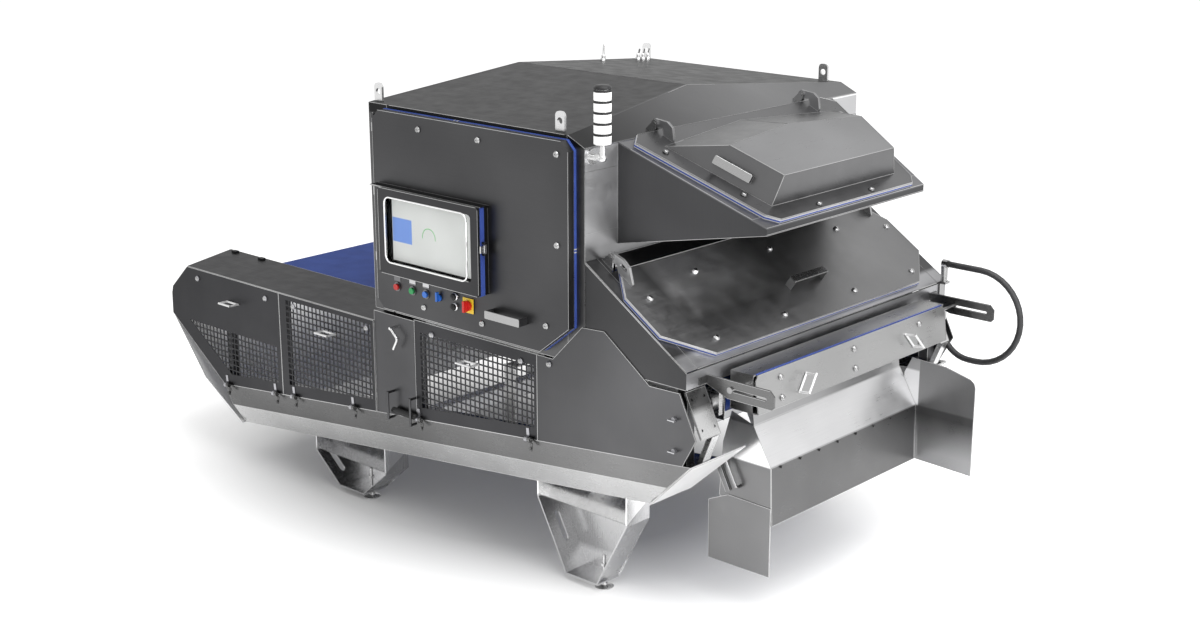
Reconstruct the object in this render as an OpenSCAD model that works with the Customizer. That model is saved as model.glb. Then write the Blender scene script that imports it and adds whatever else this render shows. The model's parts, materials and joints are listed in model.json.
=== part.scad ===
// Belt-fed optical sorter for food: an infeed belt between guarded sides, an electrical
// cabinet with a screen over the belt, sloped optics housings with hinged hatches, an air
// ejector box and a discharge chute, on a tilted base with four levelling feet.
// X runs with the product, from the infeed to the discharge. The operator stands at -Y.

/* [Overall] */
// Width over the side walls
machine_w = 2000; // [1700:10:2400]
// Length of the cabinet over the belt
cabinet_l = 1385; // [1200:5:1600]
// Length of the guarded infeed in front of the cabinet
infeed_l = 1729; // [1440:1:2080]
// Length of the shoulder housing behind the cabinet
shoulder_l = 569; // [500:1:660]
// Height of the eaves over the floor
eave_z = 2138; // [1950:1:2350]
// Rise of the roof from the eaves to the ridge
roof_rise = 82; // [40:1:140]
// Height of the belt surface over the floor
belt_z = 1041; // [1000:1:1080]

/* [Slopes] */
// Slope of the upper hatch, in degrees
optic_slope = 24.8; // [20:0.1:28]
// Slope of the shoulder and the lower hatch, in degrees
shoulder_slope = 33.3; // [30:0.1:35]
// Rise of the base rails towards the discharge, in degrees
rail_tilt = 6.35; // [3:0.05:8]

/* [Housings] */
// Thickness of the housing walls
wall = 4; // [3:0.5:6]
// Height where the front slope meets the end wall of the cabinet
front_top_z = 2093; // [1900:1:2180]
// Height where the shoulder slope meets the end wall of the cabinet
shoulder_top_z = 1603; // [1500:1:1640]
// Height of the cabinet floor
cabinet_floor_z = 1136; // [1130:1:1160]
// Reach of the optics housing past the cabinet
optics_l = 664; // [560:1:720]
// Half width of the optics housing at the cabinet
optics_root_y = 790; // [720:5:850]
// Half width of the optics housing at its tip
optics_tip_y = 600; // [560:5:700]
// Height of the bottom of the optics housing at the cabinet
optics_bottom_z = 1646; // [1640:1:1700]

/* [Doors and hatches] */
// Gap filled by a seal between a lid and its housing
seal_t = 14; // [8:1:20]
// Width of a seal strip
seal_w = 26; // [18:1:34]
// Thickness of a hatch or door plate
lid_t = 6; // [4:0.5:8]
// Length of the cabinet door
door_l = 1256; // [1000:1:1300]
// Height of the cabinet door
door_h = 955; // [840:1:960]
// Stand-off of the door plate from the cabinet wall
door_standoff = 50; // [40:1:60]
// Half width of the lower hatch
lower_hatch_y = 985; // [900:5:990]
// Half width of the upper hatch at its top edge
upper_hatch_y = 740; // [680:5:760]

/* [Screen and controls] */
// Width of the screen box
screen_w = 668; // [600:1:700]
// Height of the screen box
screen_h = 408; // [360:1:430]
// Depth of the screen box in front of the door plate
screen_d = 64; // [56:1:90]
// Hole radius of a panel button
button_r = 11; // [9:0.5:13]
// Travel of a push button
button_travel = 4; // [3:0.5:6]

/* [Belt] */
// Width of the conveyor belt
belt_w = 1200; // [1000:10:1260]
// Thickness of the belt
belt_t = 4; // [3:0.5:6]
// Radius of the belt pulleys
pulley_r = 62; // [50:1:75]
// Radius of a pulley shaft
shaft_r = 20; // [15:1:25]
// Distance of the tail pulley from the infeed end
tail_in = 424; // [320:1:500]
// Distance of the head pulley past the cabinet's end wall
head_x = 400; // [340:1:430]

/* [Guards] */
// Height of the guard tops over the floor
guard_z = 1062; // [1040:1:1100]
// Thickness of a guard sheet
guard_t = 3; // [2:0.5:4]
// Side of a square guard hole
mesh_hole = 24; // [20:1:26]
// Pitch of the guard holes
mesh_pitch = 31; // [30:1:44]
// Width of the top cover from the guard to the belt side
cover_w = 385; // [340:5:390]

/* [Chute] */
// Half width of the chute
chute_y = 570; // [500:5:600]
// Thickness of the chute sheet
chute_t = 3; // [2:0.5:4]

/* [Feet and lifting] */
// Radius of a foot pad
foot_r = 44; // [34:1:54]
// Radius of a foot spindle
spindle_r = 8; // [6:0.5:10]
// Hole radius of a lifting eye
eye_r = 15; // [12:0.5:18]
// Thickness of a lifting eye
eye_t = 12; // [8:1:16]

/* [Air hose] */
// Outer diameter of the air hose
hose_d = 30; // [22:1:34]

/* [Hidden] */
$fn = 48;

half_w = machine_w / 2;
ridge_z = eave_z + roof_rise;
cab_x0 = -cabinet_l;
infeed_x0 = -cabinet_l - infeed_l;
tail_x = cabinet_l + infeed_l - tail_in;
optic_tan = tan(optic_slope);
shoulder_tan = tan(shoulder_slope);
rail_tan = tan(rail_tilt);
tip_z = front_top_z - optics_l * optic_tan;
gap = 0.3;

// Base rail section: top outer corner, fold, bottom outer corner and inner web
rail_z = 749;
rail_fold = [half_w - 35, -123];
rail_foot = [half_w - 100, -237];
rail_web_y = half_w - 180;
rail_t = 5;
rail_x0 = infeed_x0 + 446;
rail_x1 = shoulder_l + 30;

function rail_top(x) = rail_z + x * rail_tan;
function rail_bottom(x) = rail_top(x) + rail_foot[1] / cos(rail_tilt);

// Thickness of the sheet offset to the left of a folded path, mitred at each fold
function unit(v) = v / norm(v);
function left_of(a, b) = let(d = unit(b - a)) [-d[1], d[0]];
function fold_offset(path, i, t) =
  i == 0 ? path[0] + t * left_of(path[0], path[1]) :
  i == len(path) - 1 ? path[i] + t * left_of(path[i - 1], path[i]) :
  let(m = left_of(path[i - 1], path[i]), n = left_of(path[i], path[i + 1]))
  path[i] + t * (m + n) / (1 + m * n);
function folded(path, t) =
  concat(path, [for (i = [len(path) - 1:-1:0]) fold_offset(path, i, t)]);

// An X-Z profile pushed from y0 to y1
module across(y0, y1) {
  translate([0, y1, 0]) rotate([90, 0, 0]) linear_extrude(y1 - y0) children();
}

// A Y-Z profile pushed from x0 to x1
module along(x0, x1) {
  translate([x0, 0, 0]) rotate([90, 0, 90]) linear_extrude(x1 - x0) children();
}

module both_sides() {
  children();
  mirror([0, 1, 0]) children();
}

// Frames of the two hatch slopes and the rails: x down or along the slope, z out of it
module on_optic_slope() {
  translate([0, 0, front_top_z]) rotate([0, optic_slope, 0]) children();
}

module on_shoulder_slope() {
  translate([0, 0, shoulder_top_z]) rotate([0, shoulder_slope, 0]) children();
}

module on_rails() {
  translate([0, 0, rail_z]) rotate([0, -rail_tilt, 0]) children();
}

// A round bar between two points
module bar(a, b, r) {
  d = b - a;
  translate(a)
    rotate([0, acos(d[2] / norm(d)), atan2(d[1], d[0])])
    cylinder(h = norm(d), r = r);
}

// An X-Z slab that ends below the near rail
module below_rail(x) {
  reach = leg_top_w;
  across(-half_w, 0) polygon([
    [x - reach, 0], [x + reach, 0], [x + reach, rail_bottom(x + reach) - gap],
    [x - reach, rail_bottom(x - reach) - gap]]);
}

// Wire handle in three welded pieces: two legs and a grip bar, standing along +Z
grip_l = 100;
grip_out = 62;
grip_r = 5;
module wire_handle() {
  for (s = [-1, 1])
    translate([s * (grip_l / 2 - grip_r), 0, 0]) cylinder(h = grip_out - 2 * grip_r - gap, r = grip_r);
  translate([-grip_l / 2, 0, grip_out - grip_r]) rotate([0, 90, 0]) cylinder(h = grip_l, r = grip_r);
}

// Handle bent from strip: two legs and a flat grip, standing along +Z
strip_w = 34;
strip_t = 4;
module strip_handle(l, out) {
  for (s = [-1, 1])
    translate([s * (l - strip_t) / 2 - strip_t / 2, -strip_w / 2, 0])
      cube([strip_t, strip_w, out - strip_t - gap]);
  translate([-l / 2, -strip_w / 2, out - strip_t]) cube([l, strip_w, strip_t]);
}

// Quarter-turn latch head with its bevelled rim and driver slot, standing along +Z
latch_r = 15;
latch_h = 9;
module latch_head() {
  difference() {
    rotate_extrude() polygon([[0, 0], [latch_r, 0], [latch_r, latch_h * 0.5],
      [latch_r * 0.75, latch_h], [0, latch_h]]);
    translate([-latch_r * 0.45, -2, latch_h - 3]) cube([latch_r * 0.9, 4, 4]);
  }
}

// Wing screw of a side cover, standing along +Z
module wing_screw() {
  cylinder(h = 12, r = 11);
  translate([-19, -2.5, 12]) cube([38, 5, 16]);
}

// Items on the near side face: z turned out of the face towards the operator
module on_face(x, y, z) {
  translate([x, y, z]) rotate([90, 0, 0]) children();
}

// Base frame

// Guard hinges: a roller along the rail in a strap of the rail, with the guard's strap beside it
hinge_xs = [[infeed_x0 + 485, infeed_x0 + 907], [infeed_x0 + 1065, infeed_x0 + 1541], [-1077, -338]];
roller_r = 9;
roller_at = [half_w + 17, 4];
strap_t = 3;
strap_l = 18;
strap_in_r = roller_r + gap;
strap_r = strap_in_r + strap_t;
function rail_face_y(z) = half_w - z * (half_w - rail_fold[0]) / rail_fold[1] * -1;
module strap_ring() {
  translate(roller_at) difference() {
    circle(strap_r);
    circle(strap_in_r);
    translate([-2 * strap_r, 2]) square([2 * strap_r - 5, strap_r]);
  }
}
module rail_strap(x) {
  on_rails() {
    along(x + gap, x + strap_l) {
      strap_ring();
      polygon(folded([[roller_at[0], roller_at[1] - strap_in_r - 1], [rail_face_y(-16) + 0.6, -16],
        [rail_face_y(-52) + 0.6, -52]], strap_t));
    }
    along(x - strap_l - 4, x + strap_l + 4) translate(roller_at) circle(roller_r);
    translate([x + strap_l / 2, rail_face_y(-38) + strap_t + 1, -38]) rotate([-74, 0, 0])
      cylinder(h = 7, r = 7);
  }
}
// Thin weld gap through a sheet from its outer to its inner corner
module seam_cut(a, b) {
  d = unit(b - a);
  side = [-d[1], d[0]] * gap / 2;
  polygon([a - d + side, b + d + side, b + d - side, a - d - side]);
}
// A frame of sheet strips welded at its corners
module frame_strips(outer, inner) {
  difference() {
    polygon(outer);
    polygon(inner);
    for (i = [0:len(outer) - 1]) seam_cut(outer[i], inner[i]);
  }
}
module side_rails() {
  outer = [[half_w, 0], rail_fold, rail_foot, [rail_web_y, rail_foot[1]], [rail_web_y, 0]];
  inner = [[half_w - rail_t * 1.3, -rail_t], rail_fold + [-rail_t * 1.3, 0],
    rail_foot + [-rail_t, rail_t], [rail_web_y + rail_t, rail_foot[1] + rail_t],
    [rail_web_y + rail_t, -rail_t]];
  color("silver")
  both_sides() {
    intersection() {
      on_rails() along(-2 * machine_w, machine_w) frame_strips(outer, inner);
      across(0, half_w) polygon([
        [rail_x0, rail_top(rail_x0)], [rail_x0, rail_top(rail_x0) + 50], [rail_x1, rail_top(rail_x1) + 50],
        [rail_x1, rail_top(rail_x1)], [rail_x1 - end_run, rail_bottom(rail_x1 - end_run)],
        [rail_x1 - end_run - 60, 200], [rail_x0 + 60, 100], [rail_x0 + 20, rail_bottom(rail_x0)]]);
    }
    for (pair = hinge_xs) for (x = pair) rail_strap(x / cos(rail_tilt));
  }
}

beam_s = 80;
beam_xs = [infeed_x0 + 700, -cabinet_l - 180, -cabinet_l / 2, -260];
end_run = 300;
hull_top = [infeed_x0 + rail_t, 773];
hull_foot = [rail_x0 + 20, rail_bottom(rail_x0 + 20)];
module cross_members() {
  beam_y = rail_web_y - gap;
  discharge_top = [rail_x1 + 1, rail_top(rail_x1 + 1)];
  discharge_foot = [rail_x1 + 1 - end_run, rail_bottom(rail_x1 + 1 - end_run)];
  color("silver") {
    on_rails()
    for (x = beam_xs)
      translate([x, -beam_y, -190]) difference() {
        cube([beam_s, 2 * beam_y, beam_s]);
        translate([rail_t, -1, rail_t]) cube([beam_s - 2 * rail_t, 2 * beam_y + 2, beam_s - 2 * rail_t]);
        for (z = [rail_t, beam_s - rail_t - gap])
          weld([beam_s + 2, 2 * beam_y + 2, gap], [-1, -1, z]);
      }
    intersection() {
      across(-half_w, half_w) polygon(folded([hull_top, hull_foot], -rail_t));
      along(infeed_x0 - 50, 0) polygon([
        [half_w, hull_top[1] + 50], [-half_w, hull_top[1] + 50], [-half_w, rail_top(rail_x0)],
        [-rail_foot[0], hull_foot[1] - 50], [rail_foot[0], hull_foot[1] - 50], [half_w, rail_top(rail_x0)]]);
    }
    both_sides() intersection() {
      across(chute_y + 60, half_w) polygon(folded([discharge_top, discharge_foot], rail_t));
      along(0, rail_x1 + 50) polygon([
        [0, discharge_top[1] + 50], [half_w, discharge_top[1] + 50], [half_w, discharge_top[1]],
        [rail_foot[0], discharge_foot[1] - 50], [0, discharge_foot[1] - 50]]);
    }
  }
}

// Legs: two inclined plates, a back plate, a foot plate and a leaning cross plate, open outwards
leg_t = 8;
leg_top_w = 560;
leg_foot_w = 204;
leg_foot_z = 34;
leg_foot_d = 146;
leg_bend = 120;
leg_y = half_w - 126;
leg_xs = [infeed_x0 + 1328, -145];
leg_slot_l = 100;
leg_slot_r = 16;
foot_off = 78;
nut_r = 15;
nut_h = 13;
thread_fit = 0.1;
module leg(x) {
  top_z = rail_bottom(x);
  y0 = -leg_y;
  y1 = -leg_y + leg_foot_d;
  z0 = leg_foot_z + leg_t + gap;
  module spindle_hole(r) {
    translate([x + foot_off, (y0 + y1) / 2, 0]) cylinder(h = z0 + nut_h + 1, r = r);
  }
  color("lightgray") {
    difference() {
      translate([x - leg_foot_w / 2, y0, leg_foot_z]) cube([leg_foot_w, leg_foot_d, leg_t]);
      spindle_hole(spindle_r + 0.6);
    }
    difference() {
      translate([x + foot_off, (y0 + y1) / 2, z0]) cylinder(h = nut_h, r = nut_r, $fn = 6);
      spindle_hole(spindle_r + thread_fit);
    }
    for (s = [-1, 1]) difference() {
      intersection() {
        across(y0, y1) polygon([
          [x + s * leg_foot_w / 2, z0], [x + s * (leg_foot_w / 2 - leg_t), z0],
          [x + s * (leg_top_w / 2 - leg_t), top_z - leg_bend], [x + s * (leg_top_w / 2 - leg_t), eave_z],
          [x + s * leg_top_w / 2, eave_z], [x + s * leg_top_w / 2, top_z - leg_bend]]);
        below_rail(x);
      }
      weld([leg_top_w + 2, leg_foot_d + 2, gap], [x - leg_top_w / 2 - 1, y0 - 1, top_z - leg_bend]);
      // access slot of the plate on the infeed side
      translate([x - leg_top_w / 2, (y0 + y1) / 2, leg_foot_z + (top_z - leg_foot_z) * 0.42])
        rotate([0, 90, 0]) linear_extrude(leg_top_w / 2) {
          for (a = [-1, 1]) translate([a * leg_slot_l / 2, 0]) circle(leg_slot_r);
          square([leg_slot_l, 2 * leg_slot_r], center = true);
        }
    }
    intersection() {
      across(y1 + gap, y1 + gap + leg_t) polygon([
        [x - leg_foot_w / 2, leg_foot_z], [x + leg_foot_w / 2, leg_foot_z],
        [x + leg_top_w / 2, top_z - leg_bend], [x + leg_top_w / 2, eave_z],
        [x - leg_top_w / 2, eave_z], [x - leg_top_w / 2, top_z - leg_bend]]);
      below_rail(x);
    }
    intersection() {
      along(x - leg_top_w / 2 + leg_t + gap, x + leg_top_w / 2 - leg_t - gap) polygon(folded([
        [y0 + 6, top_z - leg_bend + 8], [y1 - gap - 6, top_z - 34]], 6));
      below_rail(x);
    }
  }
}
module leg_infeed_near() { leg(leg_xs[0]); }
module leg_infeed_far() { mirror([0, 1, 0]) leg(leg_xs[0]); }
module leg_discharge_near() { leg(leg_xs[1]); }
module leg_discharge_far() { mirror([0, 1, 0]) leg(leg_xs[1]); }

// Levelling foot: dished pad, ball neck, threaded spindle and lock nut
spindle_l = 158;
module foot(x) {
  color("gainsboro")
  translate([x + foot_off, -leg_y + leg_foot_d / 2, 0]) {
    rotate_extrude() polygon([
      [0, 0], [foot_r, 0], [foot_r, 5], [spindle_r * 1.8, 14], [spindle_r * 1.8, 20], [0, 20]]);
    cylinder(h = spindle_l, r = spindle_r);
    translate([0, 0, leg_foot_z + leg_t + 62]) cylinder(h = nut_h, r = nut_r, $fn = 6);
  }
}
module foot_infeed_near() { foot(leg_xs[0]); }
module foot_infeed_far() { mirror([0, 1, 0]) foot(leg_xs[0]); }
module foot_discharge_near() { foot(leg_xs[1]); }
module foot_discharge_far() { mirror([0, 1, 0]) foot(leg_xs[1]); }

// Columns between the rails and the housings, with the wide post beside the operator
post_x0 = -1406;
post_x1 = -1109;
post_top_z = cabinet_floor_z - gap;
post_gap = 20;
post_core_d = 40;
post_d = 50;
post_t = 4;
rear_post_xs = [-285, shoulder_l - 75];
infeed_post_xs = [infeed_x0 + 474, infeed_x0 + 950];
rod_hub = [-1250, 1060];
rod_fit = 0.05;
rod_r = 7;
loop_z = [600, 730];
module column(x0, x1, y0, y1, top) {
  across(y0, y1) polygon([
    [x0, rail_top(x0) + gap], [x1, rail_top(x1) + gap], [x1, top], [x0, top]]);
}
module wire_loop(x) {
  y0 = -half_w + 2 - gap;
  bar([x, -half_w - gap, loop_z[0]], [x, y0 - 34, loop_z[0]], 6);
  bar([x, y0, loop_z[1]], [x, y0 - 34, loop_z[1]], 6);
  translate([x, y0 - 34 - gap - 6, loop_z[0] - 6]) cylinder(h = loop_z[1] - loop_z[0] + 12, r = 6);
}
module support_posts() {
  color("dimgray") {
    for (s = [-1, 1]) mirror([0, s > 0 ? 1 : 0, 0]) {
      difference() {
        column(post_x0 + 2, post_x1 - 2, -half_w + 2, -half_w + post_d, post_top_z - post_gap);
        column(post_x0 + 2 + post_t, post_x1 - 2 - post_t, -half_w + 2 + post_t, -half_w + post_d + 1,
          post_top_z - post_gap - post_t);
        weld([post_x1 - post_x0, gap, eave_z], [post_x0, -half_w + 2 + post_t, 0]);
        weld([post_x1 - post_x0, post_d, gap],
          [post_x0, -half_w + 2 + post_t, post_top_z - post_gap - post_t - gap]);
        if (s < 0) on_face(rod_hub[0], -half_w + 20, rod_hub[1]) cylinder(h = 40, r = rod_r + rod_fit);
      }
      // core that carries the cabinet behind the open gap
      column(post_x0 + 20, post_x1 - 20, -half_w + post_d + gap, -half_w + post_d + post_core_d,
        post_top_z);
      for (x = rear_post_xs)
        column(x, x + 50, -half_w + 40, -half_w + 40 + post_d,
          x < 0 ? post_top_z : shoulder_front_z - gap);
      for (x = infeed_post_xs)
        column(x, x + 40, -half_w + 10, -half_w + 50, guard_z - gap);
    }
    wire_loop(-1277);
    wire_loop(-1116);
  }
}

// Bent rod handle that turns in the post: a hub and two straight rods, mitred
rod_bend = [rod_hub[0] + 49, rod_hub[1] - 45];
rod_end = [rod_hub[0] + 17, rod_hub[1] - 102];
module rod_handle() {
  y = -half_w - 30;
  color("silver") {
    on_face(rod_hub[0], -half_w + 14, rod_hub[1]) cylinder(h = 44 + rod_r, r = rod_r);
    bar([rod_hub[0], y, rod_hub[1]], [rod_bend[0], y, rod_bend[1]], rod_r - 0.5);
    on_face(rod_bend[0], y + rod_r, rod_bend[1]) cylinder(h = 2 * rod_r, r = rod_r);
    bar([rod_bend[0], y, rod_bend[1]], [rod_end[0], y, rod_end[1]], rod_r - 0.5);
  }
}

// Fixed covers over the belt edges along the infeed
cover_side_y = half_w - cover_w;
belt_gap = 1.5;
belt_inner_r = pulley_r + belt_gap;
pulley_z = belt_z - belt_t - belt_inner_r;
bed_top_z = pulley_z + 52;
module infeed_top_covers() {
  top = guard_z + guard_t;
  x0 = infeed_x0 + 28;
  path = [[-cover_side_y, bed_top_z + gap], [-cover_side_y, top], [-half_w, top], [-half_w, top - 14]];
  sheet = folded(path, guard_t);
  color("dimgray")
  both_sides() {
    difference() {
      along(x0, post_x0 - 1) difference() {
        polygon(sheet);
        for (i = [1, 2]) seam_cut(sheet[i], sheet[7 - i]);
      }
      // the corner over the belt end is cut away at the infeed
      translate([x0 - 1, -half_w - 1, bed_top_z - 50])
        linear_extrude(200) polygon([[0, 0], [134, 0], [0, cover_w]]);
    }
    // rest brackets at the inner edge
    for (x = [x0 + 60, x0 + 300]) translate([x, -cover_side_y - 40, top + gap]) cube([36, 26, 10]);
  }
}

// Plain covers beside the discharge, each with its own latch and two wing screws
side_t = 4;
side_x0 = rear_post_xs[0] - 5;
side_x1 = shoulder_l - 11;
side_seam = [[side_x0, 1126], [-190, 1126], [-14, 1306], [115, 1314], [374, 1127],
  [shoulder_l - 31, 1131], [shoulder_l + 60, 942]];
side_edge = side_seam[6];
wing_xz = [[shoulder_l - 54, 1013], [shoulder_l - 52, 873]];
module side_cover() {
  y0 = -half_w - gap - side_t;
  color("dimgray") {
    across(y0, -half_w - gap) polygon(concat(side_seam, [
      [side_x1, rail_top(side_x1) + 2], [side_x0, rail_top(side_x0) + 2]]));
    on_face(-214, y0 - gap, 1098) latch_head();
    for (p = wing_xz) on_face(p[0], y0 - gap, p[1]) wing_screw();
  }
}
module side_cover_near() { side_cover(); }
module side_cover_far() { mirror([0, 1, 0]) side_cover(); }

// Cabinet: a box over the belt with a gable roof and a sloped front, cut along its welds
function front_z(x) = front_top_z - x * optic_tan;
function shoulder_z(x) = shoulder_top_z - x * shoulder_tan;
roof_slope = atan(roof_rise / half_w);
module cabinet_form(i) {
  lift = i / cos(optic_slope);
  drop = i / cos(roof_slope);
  z0 = cabinet_floor_z + i;
  high = ridge_z + 500;
  intersection() {
    across(-half_w + i, half_w - i) polygon([
      [cab_x0 + i, z0], [cab_x0 + i, high], [(front_top_z - high) / optic_tan, high - lift],
      [-i, front_z(-i) - lift], [-i, z0]]);
    along(cab_x0 - 10, 10) polygon([
      [-half_w, z0], [-half_w, eave_z - drop], [0, ridge_z - drop], [half_w, eave_z - drop], [half_w, z0]]);
  }
}
door_x1 = -51;
door_x0 = door_x1 - door_l;
door_z0 = cabinet_floor_z + 28;
door_z1 = door_z0 + door_h;
door_frame = 50;
door_corner = 41;
door_low_corner = [176, 136];
function door_outline(i) = [
  [door_x0 + i, door_z0 + door_corner + i * 0.5], [door_x0 + door_corner + i * 0.5, door_z0 + i],
  [door_x1 - door_low_corner[0] - i * 0.4, door_z0 + i],
  [door_x1 - i, door_z0 + door_low_corner[1] + i * 0.4],
  [door_x1 - i, door_z1 - door_corner - i * 0.5], [door_x1 - door_corner - i * 0.5, door_z1 - i],
  [door_x0 + door_corner + i * 0.5, door_z1 - i], [door_x0 + i, door_z1 - door_corner - i * 0.5]];
port_y = 450;
port_z = [1720, 1990];
module weld(size, at) { translate(at) cube(size); }
module cabinet_shell() {
  big = 4000;
  color("gray")
  difference() {
    cabinet_form(0);
    cabinet_form(wall);
    across(-half_w - 1, -half_w + wall + 1) polygon(door_outline(door_frame));
    translate([-wall - 1, -port_y, port_z[0]]) cube([wall + 2, 2 * port_y, port_z[1] - port_z[0]]);
    // welds round the side walls, the end walls and the floor
    weld([big, gap, big], [-big + 10, -half_w + wall, 0]);
    weld([big, gap, big], [-big + 10, half_w - wall - gap, 0]);
    weld([gap, machine_w - 2 * wall, big], [cab_x0 + wall, -half_w + wall, 0]);
    weld([gap, machine_w - 2 * wall, front_z(0) - wall / cos(optic_slope)],
      [-wall - gap, -half_w + wall, 0]);
    weld([cabinet_l, machine_w - 2 * wall, gap], [cab_x0, -half_w + wall, cabinet_floor_z + wall]);
    weld([wall + 2, machine_w, gap],
      [-wall - 1, -half_w, front_z(-wall) - wall / cos(optic_slope) - 2 * gap]);
    for (x = [door_x0 + door_frame - gap, door_x1 - door_frame])
      weld([gap, wall + 2, big], [x, -half_w - 1, 0]);
    for (k = [1, 2, 5, 6])
      weld([gap, wall + 2, big], [door_outline(door_frame)[k][0], -half_w - 1, 0]);
    // welds of the end wall above and below the port
    for (z = [port_z[0] - gap, port_z[1]])
      weld([wall + 2, machine_w, gap], [-wall - 1, -half_w, z]);
    // welds along the crease between the roof and the sloped front, and along the ridge
    translate([0, 0, eave_z - 50]) linear_extrude(200) for (m = [-1, 1])
      seam_cut([(front_top_z - ridge_z) / optic_tan, 0],
        [(front_top_z - eave_z) / optic_tan, m * (half_w - wall - 1)]);
    weld([big, gap, 200], [-big, -gap / 2, ridge_z - 150]);
  }
}

// Shoulder: the sloped housing over the end of the belt, open below
shoulder_front_z = 1150;
lower_u = [104, 652];
function lower_outline(i) = [
  [lower_u[0] + i, -lower_hatch_y + 105 + i * 0.5], [lower_u[0] + 148, -lower_hatch_y + i],
  [lower_u[1] - 166, -lower_hatch_y + i], [lower_u[1] - i, -lower_hatch_y + 202 + i * 0.5],
  [lower_u[1] - i, lower_hatch_y - 202 - i * 0.5], [lower_u[1] - 166, lower_hatch_y - i],
  [lower_u[0] + 148, lower_hatch_y - i], [lower_u[0] + i, lower_hatch_y - 105 - i * 0.5]];
lower_frame = 60;
module shoulder_shell() {
  u1 = shoulder_l / cos(shoulder_slope);
  drop = (wall + gap) / cos(shoulder_slope);
  color("gray") {
    // slope, in four strips round the hatch opening
    on_shoulder_slope() translate([0, 0, -wall]) linear_extrude(wall) difference() {
      translate([wall, -half_w]) square([u1 - wall, machine_w]);
      polygon(lower_outline(lower_frame));
      for (v = [-lower_hatch_y + lower_frame - gap, lower_hatch_y - lower_frame])
        translate([0, v]) square([u1 + 1, gap]);
    }
    both_sides() across(-half_w, -half_w + wall) polygon([
      [gap, shoulder_front_z], [gap, shoulder_z(gap) - drop - wall],
      [shoulder_l, shoulder_z(shoulder_l) - drop], [shoulder_l, shoulder_front_z]]);
    front_h = shoulder_z(shoulder_l) - drop - wall - shoulder_front_z;
    translate([shoulder_l - wall, -half_w + wall + gap, shoulder_front_z])
      cube([wall, machine_w - 2 * (wall + gap), front_h]);
  }
}

// Optics housing: a tapered box that carries the cameras over the product stream
optics_tip_drop = 34;
optics_tip_z = tip_z - optics_tip_drop;
optics_u1 = optics_l / cos(optic_slope);
window_x = [330, 450];
window_y = 540;
upper_u = [2, optics_u1 - 10];
upper_tip_y = optics_tip_y - 45;
function upper_outline(i) = [
  [upper_u[0] + i, -upper_hatch_y + 66 + i * 0.5], [upper_u[0] + 52 + i * 0.3, -upper_hatch_y + i],
  [upper_u[1] - 48 - i * 0.3, -upper_tip_y + i], [upper_u[1] - i, -upper_tip_y + 52 + i * 0.5],
  [upper_u[1] - i, upper_tip_y - 52 - i * 0.5], [upper_u[1] - 48 - i * 0.3, upper_tip_y - i],
  [upper_u[0] + 52 + i * 0.3, upper_hatch_y - i], [upper_u[0] + i, upper_hatch_y - 66 - i * 0.5]];
upper_frame = 60;
function optics_floor_z(x) = optics_bottom_z + (optics_tip_z - optics_bottom_z) * x / optics_l;
module optics_plan(i, x0, x1) {
  taper = (optics_root_y - optics_tip_y) / optics_l;
  linear_extrude(ridge_z) polygon([
    [x0, -optics_root_y + taper * x0 + i], [x1, -optics_root_y + taper * x1 + i],
    [x1, optics_root_y - taper * x1 - i], [x0, optics_root_y - taper * x0 - i]]);
}
module optics_shell() {
  drop = (wall + gap) / cos(optic_slope);
  step = wall + gap;
  color("gray") {
    // top, in strips round the hatch opening
    intersection() {
      on_optic_slope() translate([0, 0, -wall]) linear_extrude(wall) difference() {
        translate([wall, -half_w]) square([optics_u1, machine_w]);
        polygon(upper_outline(upper_frame));
        for (u = [upper_u[0] + upper_frame + gap, upper_u[1] - upper_frame - gap])
          translate([u, -half_w]) square([gap, machine_w]);
      }
      optics_plan(0, gap, optics_l);
    }
    // side walls and tip wall
    intersection() {
      difference() {
        optics_plan(0, gap, optics_l);
        optics_plan(wall, 0, optics_l - wall);
        weld([gap, machine_w, ridge_z], [optics_l - wall - gap, -half_w, 0]);
      }
      across(-half_w, half_w) polygon([
        [0, optics_floor_z(0) + step], [0, front_z(0) - drop], [optics_l, front_z(optics_l) - drop],
        [optics_l, optics_floor_z(optics_l) + step]]);
    }
    // underside, in strips round the scan slot
    intersection() {
      across(-half_w, half_w) polygon(folded([
        [0, optics_floor_z(0)], [optics_l, optics_floor_z(optics_l)]], wall));
      difference() {
        optics_plan(0, gap, optics_l);
        translate([window_x[0], -window_y, 0]) cube([window_x[1] - window_x[0], 2 * window_y, ridge_z]);
        for (x = [window_x[0] - gap, window_x[1]])
          weld([gap, machine_w, ridge_z], [x, -half_w, 0]);
      }
    }
  }
}

// Glass of the scan slot in the underside of the optics housing
glass_lap = 16;
glass_t = 6;
module scan_window() {
  tilt = atan((optics_floor_z(1) - optics_floor_z(0)));
  glass_l = window_x[1] - window_x[0] + 2 * glass_lap;
  color("lightblue")
  translate([window_x[0], 0, optics_floor_z(window_x[0]) + wall + 2 * gap]) rotate([0, -tilt, 0])
    translate([-glass_lap, -window_y - glass_lap, 0]) cube([glass_l, 2 * (window_y + glass_lap), glass_t]);
}

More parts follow.
